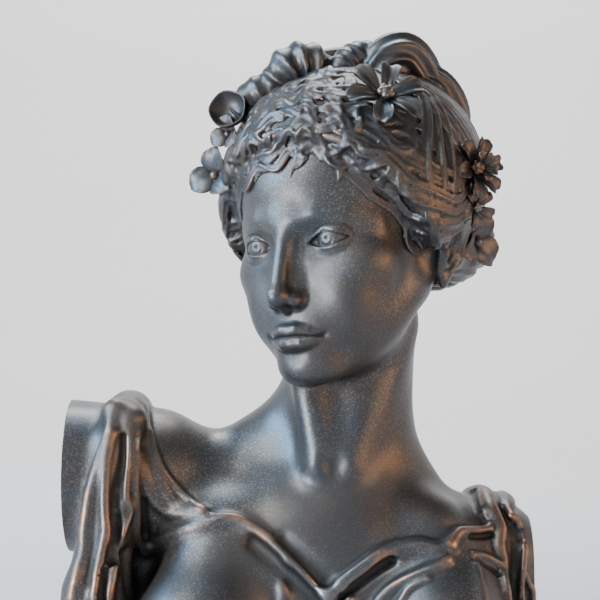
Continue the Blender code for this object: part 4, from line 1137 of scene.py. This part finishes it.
class Blossoms:
    """Collects bent copies of one ball as petals, leaves and buttons."""

    def __init__(self, rings, around):
        self.ball = ball_mesh(rings, around)
        self.unit = coordinates(self.ball)
        self.shapes = []
        self.reliefs = []

    def petal(self, middle, out, over, length, width, thickness, cup, curl, pointed=False):
        """A petal or a leaf that grows out and faces over, cupped up and curled back at its tip."""
        across = np.cross(over, out)
        x, y = self.unit[:, 0], self.unit[:, 1]
        v = 0.5 + 0.5 * self.unit[:, 2]
        widen = (1.25 - 0.75 * v) if pointed else (0.50 + 0.74 * v)
        notch = 0.0 if pointed else 0.10 * np.exp(-((x / 0.22) ** 2)) * v**6
        rise = cup * v - curl * v**2 + 0.30 * x**2 * v - 0.10 * np.exp(-((x / 0.16) ** 2)) * (1.0 - v)
        rise += 0.032 * np.cos(14.0 * x) * np.sin(math.pi * v)
        share = length * (v - notch) / math.hypot(1.0, 0.6 * cup)
        self.shapes.append(
            middle + out * share[:, None] + across * (x * widen * width)[:, None]
            + over * (rise * length + y * thickness)[:, None]
        )
        self.reliefs.append(np.clip(0.3 + 0.7 * v, 0.0, 1.0))

    def stalk(self, foot, middle):
        """A short thick stalk between the hair and a flower."""
        reach = middle - foot
        along = 0.5 + 0.5 * self.unit[:, 2]
        self.shapes.append(foot + reach * along[:, None] + self.unit * (3.0 - along[:, None]))
        self.reliefs.append(np.zeros(len(self.unit)))

    def button(self, middle, radius):
        self.shapes.append(middle + self.unit * radius)
        self.reliefs.append(np.full(len(self.unit), 0.8))

    def bell(self, middle, first, second, over, radius, depth, thickness):
        """A trumpet flower in one piece, hollow in front, with a wavy rim."""
        x, y, z = self.unit.T
        out = np.hypot(x, y)
        rim = 1.0 + 0.03 * np.cos(5.0 * np.arctan2(y, x)) * out
        reach = radius * out**0.7 * rim / np.maximum(out, 1e-6)
        height = radius * depth * (out**2 - 1.0) * np.where(z > 0.0, 0.8, 1.0)
        height += thickness * np.clip(3.0 * z, -1.0, 1.0)
        self.shapes.append(
            middle + first * (x * reach)[:, None] + second * (y * reach)[:, None] + over * height[:, None]
        )
        self.reliefs.append(np.clip(2.5 * out - 1.5, 0.0, 1.0))

    def flower(self, middle, facing, radius, petals, cup, thickness):
        """A bell, three leaves, or a ring of petals about a heart of buttons."""
        over = unit(facing)
        first = unit(np.cross(over, (0.0, 0.0, 1.0)))
        second = np.cross(over, first)

        def spoke(share):
            angle = 2.0 * math.pi * share
            return first * math.cos(angle) + second * math.sin(angle)

        if petals == 0:
            self.bell(middle, first, second, over, radius, cup, thickness)
            self.button(middle - over * radius * 0.72, radius * 0.18)
            return
        leaves = petals == 3
        for i in range(petals):
            out = spoke((i + 0.2) / petals)
            width = radius * (0.58 if leaves else 1.62 / petals)
            base = middle + out * radius * 0.10
            self.petal(base, out, over, radius * 0.98, width, thickness, cup, 0.35 * cup + 0.12, leaves)
        if leaves:
            self.button(middle, radius * 0.18)
            return
        for i in range(5):
            self.button(middle + spoke(i / 5) * radius * 0.13 + over * radius * 0.16, radius * 0.10)
        self.button(middle + over * radius * 0.12, radius * 0.17)


class BustSizes(bpy.types.PropertyGroup):
    """Finenesses and sizes of the pieces, in grains of about a millimetre."""

    skin_fineness: bpy.props.FloatProperty(
        name="Skin fineness", description="Width of a face on the plain skin", default=3.3, min=1.0
    )
    hair_fineness: bpy.props.FloatProperty(
        name="Hair fineness", description="Width of a face on the front hair", default=1.25, min=0.6
    )
    lock_radius: bpy.props.FloatProperty(
        name="Lock radius", description="Half the width of a lock of the fringe", default=4.2, min=1.0
    )
    groove_depth: bpy.props.FloatProperty(
        name="Groove depth", description="Depth of the combed grooves as a share of a lock's radius",
        default=0.45, min=0.0, max=0.8, subtype="FACTOR"
    )
    petal_thickness: bpy.props.FloatProperty(
        name="Petal thickness", description="Half the thickness of a petal", default=2.3, min=0.5
    )


class BronzeLooks(bpy.types.PropertyGroup):
    """Colours of the bronze."""

    patina: bpy.props.FloatVectorProperty(
        name="Patina", description="Dark waxed patina", subtype="COLOR", size=3,
        default=(0.066, 0.069, 0.074), min=0.0, max=1.0
    )
    brown: bpy.props.FloatVectorProperty(
        name="Brown", description="Browner clouds in the patina", subtype="COLOR", size=3,
        default=(0.084, 0.068, 0.058), min=0.0, max=1.0
    )
    copper: bpy.props.FloatVectorProperty(
        name="Copper", description="Metal that shows where the ridges are worn", subtype="COLOR", size=3,
        default=(0.50, 0.25, 0.14), min=0.0, max=1.0
    )
    # A painted highlight: pale grey laid on the crests of the ridges where no copper shows.
    crest_highlight: bpy.props.FloatVectorProperty(
        name="Crest highlight", description="Pale grey painted highlight on the crests of the ridges", subtype="COLOR", size=3,
        default=(0.30, 0.29, 0.285), min=0.0, max=1.0
    )
    dust: bpy.props.FloatVectorProperty(
        name="Dust", description="Fine pale specks", subtype="COLOR", size=3,
        default=(0.34, 0.34, 0.33), min=0.0, max=1.0
    )


def group_of(name, inputs, outputs):
    """An empty shader node group with its sockets, and its input and output nodes."""
    group = bpy.data.node_groups.new(name, "ShaderNodeTree")
    for socket, kind, default in inputs:
        made = group.interface.new_socket(name=socket, in_out="INPUT", socket_type=kind)
        if default is not None:
            made.default_value = default
    for socket, kind in outputs:
        group.interface.new_socket(name=socket, in_out="OUTPUT", socket_type=kind)
    return group, group.nodes.new("NodeGroupInput"), group.nodes.new("NodeGroupOutput")


def noise(tree, where, scale, detail=3.0, roughness=0.55):
    """A soft noise that is about one over scale wide, in metres."""
    node = tree.nodes.new("ShaderNodeTexNoise")
    node.inputs["Scale"].default_value = scale
    node.inputs["Detail"].default_value = detail
    node.inputs["Roughness"].default_value = roughness
    tree.links.new(where, node.inputs["Vector"])
    return node.outputs["Fac"]


def ramp(tree, value, low, high, bottom=0.0, top=1.0):
    """Value taken from low to high, smoothly, to between bottom and top."""
    node = tree.nodes.new("ShaderNodeMapRange")
    node.interpolation_type = "SMOOTHSTEP"
    node.inputs["From Min"].default_value = low
    node.inputs["From Max"].default_value = high
    node.inputs["To Min"].default_value = bottom
    node.inputs["To Max"].default_value = top
    tree.links.new(value, node.inputs["Value"])
    return node.outputs["Result"]


def sum_up(tree, kind, a, b):
    """One of the plain sums of two values, each a socket or a number."""
    node = tree.nodes.new("ShaderNodeMath")
    node.operation = kind
    for value, socket in zip((a, b), node.inputs):
        if isinstance(value, (int, float)):
            socket.default_value = value
        else:
            tree.links.new(value, socket)
    return node.outputs[0]


def blended(tree, share, a, b):
    """Colour a turning to colour b by a share, each colour a socket or a tuple."""
    node = tree.nodes.new("ShaderNodeMix")
    node.data_type = "RGBA"
    tree.links.new(share, node.inputs["Factor"])
    for value, socket in zip((a, b), (node.inputs[6], node.inputs[7])):
        if isinstance(value, tuple):
            socket.default_value = value
        else:
            tree.links.new(value, socket)
    return node.outputs[2]


def edge_wear_sheen_and_shade():
    """Masks of the ridges, worn to copper in patches and with a painted pale highlight on the rest, of the
    copper's share there, and of where the skin sinks in, darkened as patina and painted shade.
    """
    group, start, end = group_of(
        "edge_wear_sheen_and_shade",
        [
            ("Where", "NodeSocketVector", None),
            ("Edge", "NodeSocketFloat", 0.0),
            ("Relief", "NodeSocketFloat", 0.0),
            ("Amount", "NodeSocketFloat", 0.5),
        ],
        [("Wear and highlight", "NodeSocketFloat"), ("Bare", "NodeSocketFloat"), ("Hollow", "NodeSocketFloat")],
    )
    where = start.outputs["Where"]
    patches = ramp(group, noise(group, where, 22.0, 4.0), 0.42, 0.62)
    scuffs = noise(group, where, 160.0, 4.0, 0.7)
    bulge = sum_up(group, "ADD", start.outputs["Edge"], sum_up(group, "MULTIPLY", scuffs, 0.5))
    bulge = ramp(group, bulge, 0.44, 0.86)
    patches = sum_up(group, "ADD", sum_up(group, "MULTIPLY", patches, 0.75), 0.25)
    high = sum_up(group, "MULTIPLY", bulge, start.outputs["Relief"])
    high = sum_up(group, "MULTIPLY", high, patches)
    # Ridges: worn copper in some patches and a painted pale highlight in the rest.
    wear_and_highlight = sum_up(group, "MULTIPLY", high, start.outputs["Amount"])
    group.links.new(wear_and_highlight, end.inputs["Wear and highlight"])
    # The copper's share of the ridges; the rest of them gets the painted highlight.
    bare = ramp(group, noise(group, where, 26.0, 3.0), 0.40, 0.53)
    group.links.new(bare, end.inputs["Bare"])
    # Hollows, where the skin sinks in: a darker patina with painted shade.
    group.links.new(ramp(group, start.outputs["Edge"], -0.05, -0.6), end.inputs["Hollow"])


def fine_specks():
    """Fine pale specks, thicker in some patches than in others."""
    group, start, end = group_of(
        "fine_specks",
        [("Where", "NodeSocketVector", None), ("Amount", "NodeSocketFloat", 0.5)],
        [("Specks", "NodeSocketFloat")],
    )
    where = start.outputs["Where"]
    dots = ramp(group, noise(group, where, 800.0, 2.0, 0.5), 0.51, 0.66)
    patches = ramp(group, noise(group, where, 9.0, 3.0), 0.35, 0.65, 0.25, 1.0)
    both = sum_up(group, "MULTIPLY", dots, patches)
    group.links.new(sum_up(group, "MULTIPLY", both, start.outputs["Amount"]), end.inputs["Specks"])


def cast_grain():
    """Height of the cast surface, fine grain with shallow hammered waves, and clouds in its colour."""
    group, start, end = group_of(
        "cast_grain",
        [("Where", "NodeSocketVector", None)],
        [("Height", "NodeSocketFloat"), ("Clouds", "NodeSocketFloat")],
    )
    where = start.outputs["Where"]
    fine = sum_up(group, "MULTIPLY", noise(group, where, 900.0, 3.0, 0.6), 0.25)
    waves = sum_up(group, "MULTIPLY", noise(group, where, 75.0, 3.0, 0.5), 0.75)
    group.links.new(sum_up(group, "ADD", fine, waves), end.inputs["Height"])
    clouds = ramp(group, noise(group, where, 14.0, 5.0, 0.6), 0.35, 0.68)
    group.links.new(clouds, end.inputs["Clouds"])


def placed(tree, group, **values):
    node = tree.nodes.new("ShaderNodeGroup")
    node.node_tree = group
    for name, value in values.items():
        if isinstance(value, (int, float)):
            node.inputs[name].default_value = value
        else:
            tree.links.new(value, node.inputs[name])
    return node


def attribute(tree, name):
    node = tree.nodes.new("ShaderNodeAttribute")
    node.attribute_name = name
    return node.outputs["Fac"]


def colour(values):
    return (*values, 1.0)


# Colour deep in a crease, partly patina and partly painted shade, and the depth of the casting's grain in
# metres.
CREASE_PATINA_AND_SHADE = (0.014, 0.013, 0.012)
GRAIN_DEPTH = 0.0006


def bronze(name, looks, wear_and_highlight, specks, roughness, bump):
    """Dark waxed bronze, browner in clouds, worn to copper on parts of its ridges with a painted pale
    highlight on the rest, darker in creases as patina and painted shade, and finely specked.
    """
    material = bpy.data.materials.new(name)
    material.use_nodes = True
    tree = material.node_tree
    shader = tree.nodes["Principled BSDF"]
    where = tree.nodes.new("ShaderNodeTexCoord").outputs["Object"]
    groups = bpy.data.node_groups
    wear = placed(tree, groups["edge_wear_sheen_and_shade"], Where=where, Edge=attribute(tree, "edge"),
                  Relief=attribute(tree, "relief"), Amount=wear_and_highlight)
    dust = placed(tree, groups["fine_specks"], Where=where, Amount=specks)
    grain = placed(tree, groups["cast_grain"], Where=where)
    base = blended(tree, grain.outputs["Clouds"], colour(looks.patina), colour(looks.brown))
    base = blended(tree, dust.outputs["Specks"], base, colour(looks.dust))
    # Painted highlight: pale grey on the ridges where no copper shows.
    highlight_and_copper = blended(tree, wear.outputs["Bare"], colour(looks.crest_highlight), colour(looks.copper))
    base = blended(tree, wear.outputs["Wear and highlight"], base, highlight_and_copper)
    # Painted shade over a darker patina: the hollows turn to the crease colour.
    sunk = sum_up(tree, "MULTIPLY", wear.outputs["Hollow"], 0.6)
    base = blended(tree, sunk, base, colour(CREASE_PATINA_AND_SHADE))
    tree.links.new(base, shader.inputs["Base Color"])
    changes = [(wear.outputs["Wear and highlight"], -0.14), (grain.outputs["Clouds"], 0.08),
               (dust.outputs["Specks"], 0.18), (wear.outputs["Hollow"], 0.2)]
    rough = roughness
    for mask, change in changes:
        rough = sum_up(tree, "ADD", rough, sum_up(tree, "MULTIPLY", mask, change))
    tree.links.new(rough, shader.inputs["Roughness"])
    shader.inputs["Metallic"].default_value = 0.8
    shader.inputs["Specular IOR Level"].default_value = 0.6
    relief = tree.nodes.new("ShaderNodeBump")
    relief.inputs["Strength"].default_value = bump
    relief.inputs["Distance"].default_value = GRAIN_DEPTH
    tree.links.new(grain.outputs["Height"], relief.inputs["Height"])
    tree.links.new(relief.outputs["Normal"], shader.inputs["Normal"])


# How fine the figure's first, rough skin is, how many rounds soften its creases, and how near a fold
# the faces of the fine skin are halved.
ROUGH_FINENESS = 4.5
SOFTENING_ROUNDS = 14
FOLD_REACH = 9.5


def near_face(co):
    """Which points lie on the face or on an ear."""
    local = to_head(co)
    front = (local[:, 1] < -35) & (np.abs(local[:, 0]) < 60) & (local[:, 2] > -105)
    ear = (np.abs(np.abs(local[:, 0]) - 78) < 16) & (np.abs(local[:, 1] - 14) < 26)
    return front & (local[:, 2] < 45) | ear & (np.abs(local[:, 2] + 16) < 36)


def near_features(co):
    """Which points lie about the eyes, the nose and the mouth."""
    local = to_head(co)
    side = np.abs(local[:, 0])
    eye = np.hypot(side - EYE[0], local[:, 2] - EYE[2]) < 20
    nose_and_mouth = (side < 27) & (np.abs(local[:, 2] + 57) < 27)
    return (eye | nose_and_mouth) & (local[:, 1] < -70)


class MakeFigure(bpy.types.Operator):
    """Head, neck, shoulders, arms and gown in one skin"""

    bl_idname = "bust.figure"
    bl_label = "Figure and gown"

    def execute(self, context):
        sizes = context.scene.bust_sizes
        field = Figure()
        figure = rough_figure("figure_in_gown")
        remeshed(figure, ROUGH_FINENESS)
        softened(figure, creased, SOFTENING_ROUNDS)
        settle(figure, field, 8, slide=0.5, calm=3)
        remeshed(figure, sizes.skin_fineness)
        settle(figure, field, 4)
        folds = np.vstack([line[::2] for line, _, _ in field.ridges + field.hollows])

        def near_folds(co):
            chosen = np.zeros(len(co), bool)
            for place in folds:
                chosen |= ((co - place) ** 2).sum(1) < FOLD_REACH**2
            return chosen | (np.abs(hair_mass(to_head(co))) > 6.0) & near_face(co)

        refined(figure, near_folds)
        settle(figure, field, 3)
        refined(figure, near_features)
        settle(figure, field, 2, slide=0.2)
        figure.data.shade_smooth()
        cut_flat(figure)
        relief = np.clip(blank_gown(coordinates(figure.data)) / CLOTH_RELIEF, 0.05, 1.0)
        finish_piece(figure, bpy.data.materials["bronze_skin"], relief, SKIN_BEND)
        return {"FINISHED"}


# How much coarser than the front hair the combed hair and the rolls are, and how much thicker the
# strands of the knot are than the locks of the fringe.
COMBED_COARSENESS = 1.35
ROLL_COARSENESS = 1.2
KNOT_STRAND = 1.4


class MakeFrontHair(bpy.types.Operator):
    """Wavy fringe, curls and the strands over her temples"""

    bl_idname = "bust.front_hair"
    bl_label = "Fringe and temple locks"

    def execute(self, context):
        sizes = context.scene.bust_sizes
        rng = np.random.default_rng(7)
        radius = sizes.lock_radius
        strands = Strands(24, 18)
        locks = [*swept_locks(rng, radius), *brow_tips(radius), *small_curls(rng, radius),
                 *temple_locks(rng, radius)]
        strands.lay_locks(locks, sizes.groove_depth)
        strands.piece("fringe_and_temple_locks", bpy.data.materials["bronze_hair"], sizes.hair_fineness)
        return {"FINISHED"}


class MakeCombedHair(bpy.types.Operator):
    """Combed strands at the sides and back, and the knot"""

    bl_idname = "bust.combed_hair"
    bl_label = "Combed hair and knot"

    def execute(self, context):
        sizes = context.scene.bust_sizes
        strands = Strands(28, 18)
        strands.lay_locks(list(combed_locks(sizes.lock_radius)), sizes.groove_depth)
        lay_knot(strands, sizes.lock_radius * KNOT_STRAND, sizes.groove_depth)
        fineness = COMBED_COARSENESS * sizes.hair_fineness
        strands.piece("combed_hair_and_knot", bpy.data.materials["bronze_hair"], fineness)
        return {"FINISHED"}


class MakeRolls(bpy.types.Operator):
    """Rolls of hair piled on the crown"""

    bl_idname = "bust.rolls"
    bl_label = "Hair rolls"

    def execute(self, context):
        sizes = context.scene.bust_sizes
        strands = Strands(76, 64)
        for i, (points, first, last, pitch, depth, lengthwise) in enumerate(ROLLS):
            line = curved(points, 24)
            ups = line - from_head(HAIR_MIDDLE)
            turns = np.linalg.norm(np.diff(line, axis=0), axis=1).sum() / pitch

            def comb(t, around, i=i, turns=turns, depth=depth, lengthwise=lengthwise):
                low = 0.55 + 0.45 * np.clip(1.0 - np.sin(around), 0.0, 1.0)
                wrap = 2.0 * math.pi * turns * t + lengthwise * around + i + 0.6 * np.sin(9.0 * t + i)
                return 1.0 - depth * low * (0.5 - 0.5 * np.cos(wrap)) ** 0.7

            def swell(t, first=first, last=last):
                radius = (first + (last - first) * t) * np.sin((0.2 + 0.6 * t) * math.pi)
                return radius * np.minimum(1.0, (16.0 * t * (1.0 - t)) ** 0.5)

            strands.lay(line, ups, 1.0, 1.0, 1.0, comb, swell)
        fineness = ROLL_COARSENESS * sizes.hair_fineness
        strands.piece("hair_rolls", bpy.data.materials["bronze_hair"], fineness)
        return {"FINISHED"}


class MakeFlowers(bpy.types.Operator):
    """Flowers and leaves in the hair"""

    bl_idname = "bust.flowers"
    bl_label = "Flowers and leaves"

    def execute(self, context):
        sizes = context.scene.bust_sizes
        blossoms = Blossoms(18, 22)
        for (foot, middle, facing), (_, _, radius, petals, cup, _) in zip(flower_places(), FLOWERS):
            blossoms.stalk(foot, middle)
            blossoms.flower(middle, facing, radius, petals, cup, sizes.petal_thickness)
        flowers = repeated("flowers_and_leaves", blossoms.ball, blossoms.shapes)
        flowers.data.shade_smooth()
        relief = np.concatenate(blossoms.reliefs)
        finish_piece(flowers, bpy.data.materials["bronze_petals"], relief, STRAND_BEND)
        return {"FINISHED"}


# Each light's name, place, size, power, tint and target. Cool light falls on her right side and warm
# light on her left side, and two lights only brighten the backdrop.
HEAD_LEVEL = (0.0, 0.0, 0.28)
LIGHTS = [
    ("key", (-1.5, -1.1, 1.9), 0.9, 46.0, (0.93, 1.0, 0.98), HEAD_LEVEL),
    ("cool_side", (-1.9, -0.2, 1.2), 0.9, 76.0, (0.36, 0.64, 1.0), HEAD_LEVEL),
    ("low_left", (-1.8, -1.3, 0.2), 0.9, 92.0, (0.86, 0.92, 1.0), HEAD_LEVEL),
    ("warm_wide", (1.7, -0.9, 0.3), 1.5, 22.0, (1.0, 0.56, 0.24), HEAD_LEVEL),
    ("warm_lamp", (1.5, -0.2, 0.5), 0.3, 4.0, (1.0, 0.42, 0.16), HEAD_LEVEL),
    ("top", (-0.2, 0.5, 1.9), 1.0, 16.0, (0.56, 0.79, 1.0), HEAD_LEVEL),
    ("wall_wash", (0.0, 1.3, 2.4), 1.2, 158.0, (1.0, 0.96, 0.92), (0.0, 2.9, 0.7)),
    ("front_wall_wash", (0.0, -1.7, 2.4), 1.2, 14.0, (1.0, 0.97, 0.94), (0.0, -2.9, 0.7)),
]


# The backdrop's profile, out from its middle and up: a flat floor that curves up into a wall.
BACKDROP = [(0.0, 0.0), (1.9, 0.0), (2.25, 0.06), (2.55, 0.24), (2.78, 0.52), (2.9, 0.9), (2.92, 3.2)]

# The camera's lens and sensor in millimetres, and the colour and strength of the room's own light.
LENS = 94.0
SENSOR = 36.0
ROOM_LIGHT = (0.88, 0.93, 1.0)
ROOM_STRENGTH = 0.08


def pale_paper():
    """Matt pale grey paper for the floor and the backdrop."""
    material = bpy.data.materials.new("pale_paper")
    material.use_nodes = True
    shader = material.node_tree.nodes["Principled BSDF"]
    shader.inputs["Base Color"].default_value = (0.46, 0.46, 0.46, 1.0)
    shader.inputs["Roughness"].default_value = 0.9
    return material


def round_backdrop():
    """The backdrop's profile turned all round, facing inwards and up."""
    bm = bmesh.new()
    verts = [bm.verts.new((0.0, x, z)) for x, z in BACKDROP]
    edges = [bm.edges.new(pair) for pair in zip(verts, verts[1:])]
    bmesh.ops.spin(bm, geom=verts + edges, axis=(0, 0, 1), cent=(0, 0, 0), steps=64,
                   angle=2.0 * math.pi, use_merge=True)
    bmesh.ops.remove_doubles(bm, verts=bm.verts[:], dist=1e-4)
    bmesh.ops.recalc_face_normals(bm, faces=bm.faces[:])
    if bm.faces[0].normal.z < 0.0:
        bmesh.ops.reverse_faces(bm, faces=bm.faces[:])
    mesh = bpy.data.meshes.new("backdrop")
    bm.to_mesh(mesh)
    bm.free()
    mesh.shade_smooth()
    mesh.materials.append(pale_paper())
    return bpy.data.objects.new("backdrop", mesh)


def soft_light(name, place, size, power, tint, target):
    """A square area light at a place, facing its target."""
    light = bpy.data.objects.new(name, bpy.data.lights.new(name, "AREA"))
    light.data.size = size
    light.data.energy = power
    light.data.color = tint
    light.visible_camera = False
    light.location = place
    aim = Vector(target) - Vector(place)
    light.rotation_euler = aim.to_track_quat("-Z", "Y").to_euler()
    bpy.context.scene.collection.objects.link(light)


class MakeStage(bpy.types.Operator):
    """Pale floor and backdrop, soft lights and the camera"""

    bl_idname = "bust.stage"
    bl_label = "Stage, lights and camera"

    def execute(self, context):
        scene = context.scene
        backdrop = round_backdrop()
        scene.collection.objects.link(backdrop)
        for light in LIGHTS:
            soft_light(*light)
        world = bpy.data.worlds.new("soft_room")
        scene.world = world
        world.use_nodes = True
        background = world.node_tree.nodes["Background"]
        background.inputs["Color"].default_value = colour(ROOM_LIGHT)
        background.inputs["Strength"].default_value = ROOM_STRENGTH
        camera = bpy.data.objects.new("camera", bpy.data.cameras.new("camera"))
        camera.data.lens = LENS
        camera.data.sensor_width = SENSOR
        camera.location = Vector(VIEWER) * GRAIN
        camera.rotation_euler = (math.radians(90.0), 0.0, 0.0)
        scene.collection.objects.link(camera)
        scene.camera = camera
        return {"FINISHED"}


class BustPanel(bpy.types.Panel):
    """Lists the sizes, the colours and the steps that build the bust"""

    bl_idname = "VIEW3D_PT_bronze_bust"
    bl_label = "Bronze bust"
    bl_space_type = "VIEW_3D"
    bl_region_type = "UI"
    bl_category = "Bronze bust"

    def draw(self, context):
        for settings in (context.scene.bust_sizes, context.scene.bronze_looks):
            for name in settings.__annotations__:
                self.layout.prop(settings, name)
        for step in STEPS:
            self.layout.operator(step.bl_idname)


STEPS = (MakeStage, MakeFigure, MakeFrontHair, MakeCombedHair, MakeRolls, MakeFlowers)
CLASSES = (BustSizes, BronzeLooks, *STEPS, BustPanel)


def register():
    for item in CLASSES:
        bpy.utils.register_class(item)
    bpy.types.Scene.bust_sizes = bpy.props.PointerProperty(type=BustSizes)
    bpy.types.Scene.bronze_looks = bpy.props.PointerProperty(type=BronzeLooks)


def unregister():
    del bpy.types.Scene.bronze_looks
    del bpy.types.Scene.bust_sizes
    for item in reversed(CLASSES):
        bpy.utils.unregister_class(item)


def main():
    register()
    looks = bpy.context.scene.bronze_looks
    edge_wear_sheen_and_shade()
    fine_specks()
    cast_grain()
    bronze("bronze_skin", looks, wear_and_highlight=0.6, specks=0.32, roughness=0.38, bump=0.35)
    bronze("bronze_hair", looks, wear_and_highlight=0.55, specks=0.12, roughness=0.36, bump=0.5)
    bronze("bronze_petals", looks, wear_and_highlight=0.45, specks=0.15, roughness=0.38, bump=0.5)
    bpy.ops.bust.stage()
    bpy.ops.bust.figure()
    bpy.ops.bust.front_hair()
    bpy.ops.bust.combed_hair()
    bpy.ops.bust.rolls()
    bpy.ops.bust.flowers()


if __name__ == "__main__":
    main()
